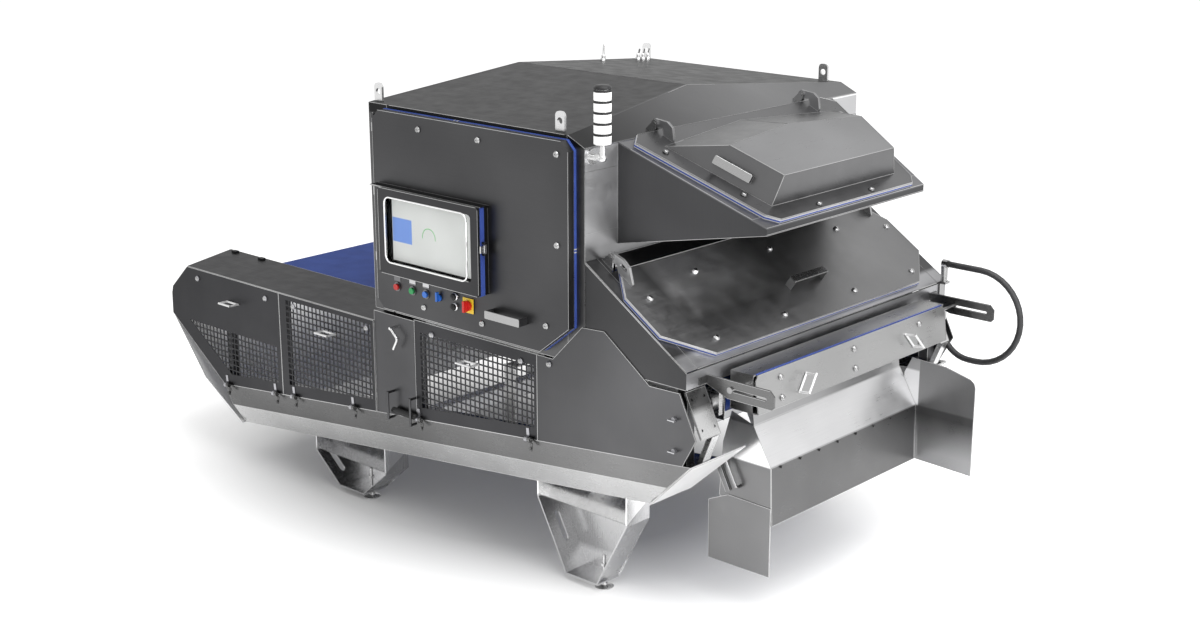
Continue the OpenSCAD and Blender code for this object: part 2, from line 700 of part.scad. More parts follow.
// Line cameras on their rail above the scan slot
camera_x = 120;
camera_s = [110, 120, 100];
camera_rail = [60, 1040, 16];
camera_ys = [-390, 0, 390];
camera_lift = 60;
lens_r = 32;
lens_l = 60;
module camera_units() {
  post = 30;
  post_x = camera_x + 15;
  foot_z = optics_floor_z(post_x + post) + wall + gap;
  z = foot_z + camera_lift;
  color("black") {
    translate([camera_x + 10, -camera_rail[1] / 2, z]) cube(camera_rail);
    for (y = camera_ys) translate([camera_x, y, z + camera_rail[2] + gap]) {
      translate([0, -camera_s[1] / 2, 0]) cube(camera_s);
      translate([camera_s[0] + gap, 0, camera_s[2] / 2]) rotate([0, 90, 0])
        cylinder(h = lens_l, r = lens_r);
    }
    for (s = [-1, 1]) translate([post_x, s * (camera_rail[1] / 2 - post / 2) - post / 2, foot_z])
      cube([post, post, camera_lift - gap]);
  }
}

// Light bars on both sides of the scan slot
light_s = [28, 1000, 30];
light_gap = 34;
light_foot = 20;
module light_bars() {
  foot_h = 4;
  color("whitesmoke")
  for (x = [window_x[0] - light_gap - light_s[0], window_x[1] + light_gap]) {
    low = optics_floor_z(x + 4 + light_foot) + wall + gap;
    translate([x, -light_s[1] / 2, low + foot_h + gap]) cube(light_s);
    for (s = [-1, 1]) translate([x + 4, s * (light_s[1] / 2 - 30) - light_foot / 2, low])
      cube([light_foot, light_foot, foot_h]);
  }
}

// Seals round the door and the two hatches, on the housings
module housing_seals() {
  color("royalblue") {
    across(-half_w - seal_t, -half_w - gap / 3) frame_strips(door_outline(-3), door_outline(seal_w - 3));
    on_optic_slope() translate([0, 0, gap / 3]) linear_extrude(seal_t)
      frame_strips(upper_outline(-3), upper_outline(seal_w - 3));
    on_shoulder_slope() translate([0, 0, gap / 3]) linear_extrude(seal_t)
      frame_strips(lower_outline(-3), lower_outline(seal_w - 3));
  }
}

// Electrical back plate with drives, supplies and terminal rows, behind the door
module control_backplate() {
  x0 = door_x0 + 120;
  y0 = -half_w + 330;
  z0 = cabinet_floor_z + 120;
  plate_w = door_l - 256;
  floor_top = cabinet_floor_z + wall + gap;
  color("white") {
    translate([x0, y0, z0]) cube([plate_w, 3, door_h - 195]);
    for (i = [0:3]) translate([x0 + 60 + i * 110, y0 - 160 - gap, z0 + 450]) cube([90, 160, 230]);
    translate([x0 + 560, y0 - 130 - gap, z0 + 420]) cube([360, 130, 240]);
    for (j = [0:2]) translate([x0 + 60, y0 - 62 - gap, z0 + 50 + j * 120]) cube([plate_w - 140, 62, 75]);
    for (s = [40, plate_w - 80])
      translate([x0 + s, y0 + 3 + gap, floor_top]) cube([40, 40, door_h - 140]);
  }
}

// Belt loop in flat runs and curved ends
belt_cuts = 8;
module belt() {
  r = belt_inner_r;
  color("midnightblue")
  difference() {
    across(-belt_w / 2, belt_w / 2) difference() {
      union() {
        for (x = [-tail_x, head_x]) translate([x, pulley_z]) circle(r + belt_t);
        translate([-tail_x, pulley_z - r - belt_t]) square([tail_x + head_x, 2 * (r + belt_t)]);
      }
      for (x = [-tail_x, head_x]) translate([x, pulley_z]) circle(r);
      translate([-tail_x, pulley_z - r]) square([tail_x + head_x, 2 * r]);
    }
    for (end = [[-tail_x, 180], [head_x, 0]]) for (k = [0:belt_cuts])
      translate([end[0], 0, pulley_z]) rotate([0, -90 + end[1] + k * 180 / belt_cuts, 0])
        translate([0, -half_w, -gap / 2]) cube([r + belt_t + 5, machine_w, gap]);
  }
}

// Slider bed between the runs, its side channels and the brackets to the rails
bed_side_y = belt_w / 2 + 12;
bed_t = 5;
module belt_bed() {
  x0 = -tail_x + pulley_r + 30;
  x1 = head_x - pulley_r - 30;
  top = belt_z - belt_t - gap;
  color("silver") {
    translate([x0, -belt_w / 2 + 20, top - 4]) cube([x1 - x0, belt_w - 40, 4]);
    for (k = [0:4])
      translate([x0 + 80 + k * (x1 - x0 - 220) / 4, -bed_side_y + gap, top - 44 - gap])
        cube([60, 2 * (bed_side_y - gap), 40]);
    for (s = [-1, 1]) translate([x0 - 60, s * (bed_side_y + bed_t / 2) - bed_t / 2, pulley_z - 60])
      cube([x1 - x0 + 120, bed_t, bed_top_z - pulley_z + 60]);
    for (x = beam_xs) both_sides() {
      translate([x + 5, -rail_web_y + gap, rail_top(x) - 60])
        cube([70, 6, pulley_z - 20 - rail_top(x) + 60]);
      translate([x + 5, -rail_web_y + 6 + 2 * gap, pulley_z - 28])
        cube([70, rail_web_y - bed_side_y - bed_t - 6 - 3 * gap, 6]);
    }
  }
}

// Pulleys with their shafts
shaft_y = bed_side_y + 62;
gear_l = 96;
module pulley(x, far_y) {
  color("darkgray")
  translate([x, 0, pulley_z]) rotate([-90, 0, 0]) {
    translate([0, 0, -belt_w / 2 + 5]) cylinder(h = belt_w - 10, r = pulley_r);
    translate([0, 0, -shaft_y]) cylinder(h = far_y + shaft_y, r = shaft_r);
  }
}
module head_pulley() { pulley(head_x, shaft_y + gear_l + 24); }
module tail_pulley() { pulley(-tail_x, shaft_y); }

// Flange bearings on end plates at both ends of the bed
bearing_fit = 0.05;
bearing_flange = 110;
module bearing_units() {
  plate_y = bed_side_y + bed_t + gap;
  plate_t = 4.8;
  color("silver")
  for (x = [-tail_x, head_x]) both_sides() {
    translate([x, plate_y, pulley_z]) difference() {
      translate([x < 0 ? -75 : -115, 0, -75]) cube([190, plate_t, 75 + bed_top_z - pulley_z]);
      translate([0, -1, 0]) rotate([-90, 0, 0]) cylinder(h = plate_t + 2, r = shaft_r + 6);
    }
    translate([x, plate_y + plate_t + gap, pulley_z]) rotate([-90, 0, 0]) difference() {
      union() {
        translate([-bearing_flange / 2, -bearing_flange / 2, 0]) cube([bearing_flange, bearing_flange, 12]);
        cylinder(h = 38, r = shaft_r + 22);
      }
      translate([0, 0, -1]) cylinder(h = 60, r = shaft_r + bearing_fit);
    }
  }
}

// Gear motor on the far end of the head shaft, on spacers from the end plate
module drive_motor() {
  y0 = shaft_y + 12;
  plate_y = bed_side_y + bed_t + 2 * gap + 4.8;
  color("slategray")
  translate([head_x, 0, pulley_z]) {
    difference() {
      translate([-60, y0, -75]) cube([120, gear_l, 150]);
      translate([0, y0 - 1, 0]) rotate([-90, 0, 0]) cylinder(h = gear_l + 2, r = shaft_r + bearing_fit);
    }
    translate([-60 - gap, y0 + gear_l / 2, -15]) rotate([0, -90, 0]) cylinder(h = 170, r = 46);
    translate([-230 - 2 * gap, y0 + gear_l / 2, -15]) rotate([0, -90, 0]) cylinder(h = 44, r = 48);
    difference() {
      translate([-112, y0 - 8 - gap, -72]) cube([184, 8, 144]);
      translate([0, y0 - 10, 0]) rotate([-90, 0, 0]) cylinder(h = 12, r = shaft_r + 6);
    }
    spacer_l = y0 - 8 - 2 * gap - plate_y;
    for (p = [[-100, 62], [-100, -62], [66, 62], [66, -62]])
      translate([p[0], plate_y, p[1]]) rotate([-90, 0, 0]) cylinder(h = spacer_l, r = 8);
  }
}

// Lifting eyes near the roof corners
eye_y = half_w - 40;
eye_xs = [cab_x0 + 30, -176];
eye_w = 54;
eye_h = 85;
eye_hole_h = 44;
eye_foot_z = eave_z + roof_rise * (half_w - eye_y + eye_t / 2) / half_w + gap;
module lifting_eyes() {
  color("silver")
  for (x = eye_xs) for (s = [-1, 1])
    translate([x, s * eye_y + eye_t / 2, eye_foot_z]) rotate([90, 0, 0]) linear_extrude(eye_t) difference() {
      union() {
        translate([-eye_w / 2, 0]) square([eye_w, eye_h - 20]);
        translate([-eye_w / 2 + 20, 0]) square([eye_w - 40, eye_h]);
        for (a = [-1, 1]) translate([a * (eye_w / 2 - 20), eye_h - 20]) circle(20);
      }
      translate([0, eye_hole_h]) circle(eye_r);
    }
}

// Cable glands on the far roof slope, each with a short stub of cable
gland_x = cab_x0 + 55;
module cable_glands() {
  color("dimgray")
  for (g = [[577, 60, 0], [858, 34, 14], [898, 34, 14], [eye_y - eye_t / 2 - 17, 34, 14]])
    translate([gland_x, g[0], eave_z + roof_rise * (half_w - g[0]) / half_w]) rotate([-roof_slope, 0, 0]) {
      translate([0, 0, gap]) cylinder(h = 12, r = 15, $fn = 6);
      translate([0, 0, 12 + gap]) cylinder(h = 14, r = 12);
      translate([0, 0, 26 + gap]) rotate([0, g[2], 0]) cylinder(h = g[1], r = 6);
      translate([0, 0, 26 + gap]) sphere(11);
    }
}

// Stack light on an elbow tube
lamp_x = 65;
lamp_y = -half_w + 40;
lamp_z = 2112;
lamp_r = 37;
lamp_pitch = 46;
lamp_groove = 4;
elbow_z = 2054;
elbow_r = 14;
module stack_light() {
  inner_r = lamp_r - lamp_groove;
  cap_z = 5 * lamp_pitch;
  color("whitesmoke") {
    translate([gap, lamp_y, elbow_z]) rotate([0, 90, 0]) cylinder(h = 10, r = elbow_r + 20);
    translate([gap + 9, lamp_y, elbow_z]) rotate([0, 90, 0]) cylinder(h = lamp_x - 9, r = elbow_r);
    translate([lamp_x, lamp_y, elbow_z]) sphere(elbow_r + 4);
    translate([lamp_x, lamp_y, elbow_z]) cylinder(h = lamp_z - elbow_z + 1, r = elbow_r);
    translate([lamp_x, lamp_y, lamp_z]) rotate_extrude() polygon(concat([[0, 0], [inner_r, 0]],
      [for (z = [0:lamp_pitch:cap_z - 1]) each [[lamp_r, z + 4], [lamp_r, z + lamp_pitch - 8],
        [inner_r, z + lamp_pitch - 4], [inner_r, z + lamp_pitch]]],
      [[lamp_r, cap_z + 4], [lamp_r, cap_z + 10], [lamp_r - 10, cap_z + 18], [0, cap_z + 18]]));
  }
}

// Fixed halves of the hinges: three on the door side, and two pairs of lugs per hatch
hinge_r = 11;
hinge_pin_r = 5;
pin_fit = 0.05;
barrel_h = 42;
door_axis = [door_x0 - 14, -half_w - 30];
door_hinge_zs = [door_z0 + 226, door_z0 + door_h * 0.57, door_z1 - 107];
hatch_pin_r = 8;
arm_t = 12;
lug_t = 8;
upper_axis = [-20, 45];
upper_arm_y = 540;
lower_axis = [50, 52];
lower_arm_y = 900;
module hatch_lugs(axis, y, foot0, foot1) {
  for (m = [-1, 1]) translate([0, m * y, 0]) {
    for (s = [-1, 1]) translate([0, s * (arm_t / 2 + gap + lug_t / 2) + lug_t / 2, 0]) rotate([90, 0, 0])
      linear_extrude(lug_t) {
        polygon([[foot0, gap], [foot1, gap], [axis[0] + 14, axis[1]], [axis[0] - 14, axis[1]]]);
        translate(axis) circle(16);
      }
    translate([axis[0], arm_t / 2 + gap + lug_t + 3, axis[1]]) rotate([90, 0, 0])
      cylinder(h = arm_t + 2 * (gap + lug_t + 3), r = hatch_pin_r);
  }
}
module door_hinges() {
  color("silver") {
    for (z = door_hinge_zs) translate([door_axis[0], door_axis[1], z]) {
      cylinder(h = barrel_h, r = hinge_r);
      cylinder(h = 2 * barrel_h + 4, r = hinge_pin_r);
      leaf_y = -door_axis[1] - half_w - gap;
      translate([-hinge_r, 0, 0]) cube([hinge_r, leaf_y, barrel_h]);
      translate([-hinge_r - 30, leaf_y - 5, -4]) cube([hinge_r + 34, 5, barrel_h + 8]);
    }
    on_optic_slope() hatch_lugs(upper_axis, upper_arm_y, -52, upper_u[0] - 8);
    on_shoulder_slope() hatch_lugs(lower_axis, lower_arm_y, 14, lower_u[0] - 10);
  }
}

// Cabinet door: a pan with a deep rim, its hinge knuckles, handle and control bores
door_face_y = -half_w - door_standoff;
rim_t = 5;
row_z = door_z0 + 125;
button_xs = [door_x0 + 144, door_x0 + 252, door_x0 + 345];
selector_x = door_x0 + 434;
isolator_x = door_x0 + 631;
port_xz = [[door_x0 + 541, row_z + 26], [door_x0 + 539, row_z - 23]];
selector_r = 9;
isolator_r = 10;
control_fit = 0.05;
collar_t = 4;
door_handle_x = door_x1 - 358;
module control_collar(x, z, bore, outer) {
  on_face(x, door_face_y - gap, z) difference() {
    cylinder(h = collar_t, r = outer);
    translate([0, 0, -1]) cylinder(h = collar_t + 2, r = bore);
  }
}
module cabinet_door() {
  back_y = -half_w - seal_t - gap;
  color("gray") {
    difference() {
      union() {
        across(door_face_y, door_face_y + lid_t) polygon(door_outline(0));
        across(door_face_y + lid_t + gap, back_y) frame_strips(door_outline(0), door_outline(rim_t));
      }
      for (x = button_xs) on_face(x, back_y, row_z) cylinder(h = 60, r = button_r + control_fit);
      on_face(selector_x, back_y, row_z) cylinder(h = 60, r = selector_r + control_fit);
      on_face(isolator_x, back_y, row_z) cylinder(h = 60, r = isolator_r + control_fit);
    }
    for (z = door_hinge_zs) translate([door_axis[0], door_axis[1], z + barrel_h + gap]) difference() {
      union() {
        cylinder(h = barrel_h, r = hinge_r);
        translate([0, -hinge_r, 0]) cube([door_x0 - door_axis[0] - gap, 8, barrel_h]);
      }
      translate([0, 0, -1]) cylinder(h = barrel_h + 2, r = hinge_pin_r + pin_fit);
    }
    on_face(door_handle_x, door_face_y - gap, row_z) strip_handle(214, 54);
    for (x = button_xs) control_collar(x, row_z, button_r + 5, button_r + 11);
    for (x = button_xs)
      on_face(x - 22, door_face_y - gap, row_z + button_r + 16) cube([44, 26, 1.5]);
    on_face(isolator_x - 34, door_face_y - gap, row_z - 34) difference() {
      cube([68, 68, 3]);
      translate([34, 34, -1]) cylinder(h = 6, r = isolator_r + 2);
    }
    for (p = port_xz) on_face(p[0], door_face_y - gap, p[1]) cylinder(h = 7, r = 15);
  }
}

door_latch_xz = [[door_x0 + 320, door_z1 - 58], [door_x0 + 711, door_z1 - 58], [door_x1 - 65, door_z1 - 58],
  [door_x1 - 65, door_z1 - 455], [door_x1 - 135, door_z0 + 126], [door_x0 + 717, door_z0 + 56],
  [door_x0 + 327, door_z0 + 57]];
module door_latches() {
  color("silver")
  for (p = door_latch_xz) on_face(p[0], door_face_y - gap, p[1]) latch_head();
}

// Controls on the door
cap_h = 12;
module push_button(i) {
  y = door_face_y - gap;
  on_face(button_xs[i], y, row_z) {
    translate([0, 0, -lid_t - 22]) cylinder(h = lid_t + 22 + button_travel + 2, r = button_r);
    translate([0, 0, button_travel + 2]) cylinder(h = cap_h - button_travel, r = button_r + 4);
  }
}
module red_button() { color("red") push_button(0); }
module green_button() { color("green") push_button(1); }
module blue_button() { color("blue") push_button(2); }
module selector_lever() {
  color("black")
  on_face(selector_x, door_face_y - gap, row_z) {
    translate([0, 0, -lid_t - 20]) cylinder(h = lid_t + 24, r = selector_r);
    translate([0, 0, 1]) cylinder(h = 8, r = 17);
    translate([-5, -15, 8]) cube([10, 44, 14]);
  }
}
module isolator_knob() {
  color("red")
  on_face(isolator_x, door_face_y - gap, row_z) {
    translate([0, 0, -lid_t - 24]) cylinder(h = lid_t + 30, r = isolator_r);
    translate([0, 0, 4]) cylinder(h = 12, r = 24);
    translate([-6, -26, 15]) cube([12, 52, 22]);
  }
}

// Screen box on the door, with the display, the hinged front and its clasp
screen_x0 = door_x0 + 97;
screen_z0 = door_z0 + 201;
screen_wall = 3;
front_t = 12;
screen_axis = [screen_x0 - 6, door_face_y - screen_d + front_t / 2];
screen_barrel_h = 20;
drip_d = 52;
screen_hinge_zs = [screen_z0 + 60, screen_z0 + screen_h - 100];
screen_back_y = door_face_y - gap;
screen_front_y = door_face_y - screen_d;
box_front_y = screen_front_y + front_t + gap;
window_side = 47;
window_low = 60;
window_high = 39;
module rounded_rect(w, h, r) {
  translate([r, 0]) square([w - 2 * r, h]);
  translate([0, r]) square([w, h - 2 * r]);
  for (x = [r, w - r]) for (z = [r, h - r]) translate([x, z]) circle(r);
}
module screen_plate(y0, y1, i, r) {
  across(y0, y1) translate([screen_x0 + i, screen_z0 + i])
    rounded_rect(screen_w - 2 * i, screen_h - 2 * i, r);
}
module screen_box() {
  color("gray") {
    difference() {
      screen_plate(box_front_y, screen_back_y, 0, 8);
      screen_plate(box_front_y - 1, screen_back_y - screen_wall, screen_wall, 6);
      weld([screen_w, gap, screen_h],
        [screen_x0, screen_back_y - screen_wall - gap, screen_z0]);
      for (x = [8, screen_w - 8])
        weld([gap, screen_d, screen_h], [screen_x0 + x, box_front_y, screen_z0]);
    }
    // drip strip over the box
    translate([screen_x0 - 69, screen_back_y - drip_d, screen_z0 + screen_h + gap])
      cube([screen_w + 76, drip_d, 3]);
    // hinge barrels of the front, with their pins
    for (z = screen_hinge_zs) translate([screen_axis[0], screen_axis[1], z]) {
      cylinder(h = screen_barrel_h, r = 5);
      cylinder(h = 2 * screen_barrel_h + 2, r = 2.5);
      translate([-5, 0, 0]) cube([screen_x0 - screen_axis[0] + 5 - gap, 24, screen_barrel_h]);
    }
    // clasp lugs on the side wall
    for (z = [clasp_z - 30, clasp_z + 22])
      translate([screen_x0 + screen_w + gap, box_front_y + 8, z]) difference() {
        cube([24, 18, 8]);
        translate([14, 9, -1]) cylinder(h = 10, r = clasp_pin_r + pin_fit);
      }
  }
}
panel_lap = 10;
panel_t = 30;
module screen_panel() {
  color("whitesmoke")
  window_plate(screen_back_y - screen_wall - gap - panel_t, screen_back_y - screen_wall - gap,
    panel_lap, panel_lap);
}
pane_lap = 8;
module window_plate(y0, y1, grow, r) {
  across(y0, y1) translate([screen_x0 + window_side - grow, screen_z0 + window_low - grow])
    rounded_rect(screen_w - 2 * window_side + 2 * grow, screen_h - window_low - window_high + 2 * grow, r);
}
module screen_door() {
  color("gray") {
    difference() {
      screen_plate(screen_front_y, screen_front_y + front_t, 0, 10);
      window_plate(screen_front_y - 1, screen_front_y + front_t + 1, 0, 18);
      window_plate(screen_front_y + 6, screen_front_y + front_t + 1, pane_lap + gap, 26);
    }
    for (z = screen_hinge_zs)
      translate([screen_axis[0], screen_axis[1], z + screen_barrel_h + gap]) difference() {
        union() {
          cylinder(h = screen_barrel_h, r = 5);
          translate([0, -5, 0]) cube([screen_x0 - screen_axis[0] - gap, 6, screen_barrel_h]);
        }
        translate([0, 0, -1]) cylinder(h = screen_barrel_h + 2, r = 2.5 + pin_fit);
      }
  }
}
module screen_pane() {
  y = screen_front_y + 6 + gap;
  color("lightcyan") window_plate(y, y + 4, pane_lap, 26);
}
clasp_z = screen_z0 + screen_h * 0.54;
clasp_pin_r = 3;
module screen_clasp() {
  x = screen_x0 + screen_w + gap + 14;
  y = box_front_y + 17;
  color("silver") {
    translate([x, y, clasp_z - 31]) cylinder(h = 62, r = clasp_pin_r);
    translate([x - 6, y - 6, clasp_z - 22 + gap]) cube([12, 12, 44 - 2 * gap]);
    translate([x - 3, screen_front_y + 1, clasp_z - 16]) cube([6, y - screen_front_y - 2, 32]);
  }
}

// Upper hatch: a plate with a hollow raised bump, hinge arms, handle and latches
lid_z = seal_t + 2 * gap;
bump_foot_z = lid_z + lid_t + gap;
bump_top_z = 150;
function plane_normal(a, b, c) = let(n = cross(b - a, c - a)) n / norm(n);
module half_space(p, n) {
  reach = 2 * machine_w;
  translate(p) rotate([0, acos(n[2]), atan2(n[1], n[0])])
    translate([-reach, -reach, -reach]) cube([2 * reach, 2 * reach, reach]);
}
function facing(n, k) = n[k] > 0 ? n : -n;
bump_foot = [46, 0, bump_foot_z];
bump_crown = [290, 0, bump_top_z];
bump_corner = [115, 615 * upper_hatch_y / 740, bump_foot_z];
bump_low = [optics_u1 - 97, 465 * optics_tip_y / 600, bump_foot_z];
bump_low_top = [optics_u1 - 128, 416 * optics_tip_y / 600, bump_top_z];
bump_face = facing(plane_normal(bump_foot, bump_crown, bump_corner), 2);
bump_side = facing(plane_normal(bump_corner, bump_low, bump_low_top), 1);
bump_end = facing(plane_normal(bump_low, bump_low + [0, 1, 0], bump_low_top), 0);
// Inside of the bump's crown, end, sides or faces, i deep
module bump_inside(k, i) {
  p = k == 1 ? bump_low : k == 2 ? bump_corner : bump_foot;
  n = k == 1 ? bump_end : k == 2 ? bump_side : bump_face;
  if (k == 0) translate([0, -half_w, bump_foot_z]) cube([optics_u1, machine_w, bump_top_z - bump_foot_z - i]);
  else intersection() {
    half_space(p - i * n, n);
    mirror([0, 1, 0]) half_space(p - i * n, n);
  }
}
module bump_wall(k) {
  t = 3;
  difference() {
    intersection() {
      bump_inside(0, k > 0 ? t + gap : 0);
      bump_inside(1, k > 1 ? t + gap : 0);
      bump_inside(2, k > 2 ? t + gap : 0);
      bump_inside(3, 0);
    }
    if (k == 0) translate([0, -half_w, 0]) cube([optics_u1, machine_w, bump_top_z - t]);
    else bump_inside(k, t);
    if (k == 3) translate([0, -gap / 2, 0]) cube([optics_u1, gap, bump_top_z]);
  }
}
// Strip handle on the bump's side face: its foot point, and the turn that lays it along that face
bump_edge = unit(bump_low - bump_corner);
bump_rise = unit(cross(bump_edge, bump_side));
bump_grip = bump_corner + 322 * bump_edge + 58 * bump_rise + gap * bump_side;
module on_bump_side() {
  lean = acos(bump_side[2]);
  swing = atan2(bump_side[1], bump_side[0]);
  across_face = [-sin(swing), cos(swing), 0];
  down_face = [cos(lean) * cos(swing), cos(lean) * sin(swing), -sin(lean)];
  translate(bump_grip) rotate([0, lean, swing])
    rotate([0, 0, atan2(bump_edge * across_face, bump_edge * down_face)]) children();
}
upper_latch_uv = [[156, 650], [optics_u1 - 203, 535], [optics_u1 - 34, 200]];
module hinge_arm(outline, axis, slot) {
  translate([0, arm_t / 2, 0]) rotate([90, 0, 0]) linear_extrude(arm_t) difference() {
    union() {
      polygon(outline);
      translate(axis) circle(20);
    }
    translate(axis) circle(hatch_pin_r + pin_fit);
    if (slot) {
      for (u = [-14, 14]) translate([126 + u, 58]) circle(9);
      translate([112, 49]) square([28, 18]);
    }
  }
}
module upper_hatch() {
  z = lid_z + lid_t + gap;
  color("gray")
  on_optic_slope() {
    translate([0, 0, lid_z]) linear_extrude(lid_t) polygon(upper_outline(0));
    for (k = [0:3]) bump_wall(k);
    for (m = [-1, 1]) translate([0, m * upper_arm_y, 0])
      hinge_arm([[-20, 65], [36, 84], [72, 76], [100, z + 12], [100, z], [44, z], [26, 46], [-20, 25]],
        upper_axis, false);
    mirror([0, 1, 0]) on_bump_side() strip_handle(180, 44);
    for (p = upper_latch_uv) for (s = [-1, 1]) translate([p[0], s * p[1], z]) latch_head();
  }
}

// Lower hatch: a flat plate with slotted hinge arms, handle and latches
lower_latch_uv = [[221, -496], [221, 46], [221, 582], [293, -870], [293, 930],
  [583, -716], [583, -231], [583, 313], [583, 797]];
module lower_hatch() {
  z = lid_z + lid_t + gap;
  color("gray")
  on_shoulder_slope() {
    translate([0, 0, lid_z]) linear_extrude(lid_t) polygon(lower_outline(0));
    for (m = [-1, 1]) translate([0, m * lower_arm_y, 0])
      hinge_arm([[50, 72], [105, 84], [150, 78], [205, z + 8], [205, z], [116, z], [92, 42], [50, 32]],
        lower_axis, true);
    for (p = lower_latch_uv) translate([p[0], p[1], z]) latch_head();
    translate([452, 62, z]) rotate([0, 0, 90]) strip_handle(250, 52);
  }
}

// Perforated guards: a sheet with square holes, a wire handle and quarter-turn latches
guard_y = -half_w - gap;
guard_lift = 2;
function guard_low(x) = rail_top(x) + guard_lift;
module mesh_holes(region) {
  xs = [for (p = region) p[0]];
  zs = [for (p = region) p[1]];
  intersection() {
    polygon(region);
    for (x = [min(xs):mesh_pitch:max(xs)]) for (z = [min(zs):mesh_pitch:max(zs)])
      translate([x, z]) square(mesh_hole);
  }
}
module guard_strap(x) {
  on_rails() along(x - strap_l, x - gap) {
    strap_ring();
    polygon(folded([[roller_at[0], roller_at[1] + strap_in_r + 1],
      [half_w + guard_t + 2 * gap, roller_at[1] + strap_in_r + 5],
      [half_w + guard_t + 2 * gap, 54]], -strap_t));
  }
}
module guard(outline, region, handle, latches, hinges) {
  color("dimgray") {
    mirror([0, 1, 0]) for (x = hinges) guard_strap(x / cos(rail_tilt));
    across(guard_y - guard_t, guard_y) difference() {
      polygon(outline);
      mesh_holes(region);
    }
    on_face(handle[0], guard_y - guard_t - gap, handle[1]) wire_handle();
    for (p = latches) on_face(p[0], guard_y - guard_t - gap, p[1]) latch_head();
  }
}
g1_x0 = infeed_x0;
g1_x1 = infeed_x0 + 959;
g2_x0 = g1_x1 + 3;
g2_x1 = post_x0 - 2;
g3_x0 = post_x1 + 2;
g3_x1 = side_x0 - 2;
mesh_edge = 60;
mesh_g1_z = 762;
mesh_g2_z = guard_z - 26;
mesh_g3_z = cabinet_floor_z - 66;
module guard_infeed() {
  guard(
    [[g1_x0 + 160, guard_z], [g1_x0 + 13, guard_z - 136], [g1_x0 + 3, guard_z - 170], [g1_x0, 773],
      [rail_x0, guard_low(rail_x0)], [g1_x1, guard_low(g1_x1)], [g1_x1, guard_z]],
    [[g1_x0 + 156, mesh_g1_z], [g1_x0 + 516, guard_low(g1_x0 + 516) + mesh_edge],
      [g1_x1 - 30, guard_low(g1_x1 - 30) + mesh_edge], [g1_x1 - 30, mesh_g1_z]],
    [infeed_x0 + 564, guard_z - 128], [[g1_x0 + 254, guard_z - 50], [g1_x1 - 111, guard_z - 50]],
    hinge_xs[0]);
}
module guard_middle() {
  guard(
    [[g2_x0, guard_low(g2_x0)], [g2_x1, guard_low(g2_x1)], [g2_x1, guard_z], [g2_x0, guard_z]],
    [[g2_x0 + 55, guard_low(g2_x0 + 55) + mesh_edge], [g2_x1 - 24, guard_low(g2_x1 - 24) + mesh_edge],
      [g2_x1 - 24, mesh_g2_z], [g2_x0 + 55, mesh_g2_z]],
    [(g2_x0 + g2_x1) / 2 + 32, guard_z - 129], [[g2_x0 + 119, guard_z - 49], [g2_x1 - 53, guard_z - 49]],
    hinge_xs[1]);
}
module guard_under() {
  top = cabinet_floor_z - 10;
  guard(
    [[g3_x0, guard_low(g3_x0)], [g3_x1, guard_low(g3_x1)], [g3_x1, top], [g3_x0, top]],
    [[g3_x0 + 39, guard_low(g3_x0 + 39) + mesh_edge], [g3_x1 - 20, guard_low(g3_x1 - 20) + mesh_edge],
      [g3_x1 - 20, mesh_g3_z], [g3_x0 + 39, mesh_g3_z]],
    [(g3_x0 + g3_x1) / 2 - 14, mesh_g3_z - 72], [[g3_x0 + 122, top - 51], [g3_x1 - 101, top - 52]],
    hinge_xs[2]);
}
module guard_infeed_near() { guard_infeed(); }
module guard_middle_near() { guard_middle(); }
module guard_under_near() { guard_under(); }
module guard_infeed_far() { mirror([0, 1, 0]) guard_infeed(); }
module guard_middle_far() { mirror([0, 1, 0]) guard_middle(); }
module guard_under_far() { mirror([0, 1, 0]) guard_under(); }

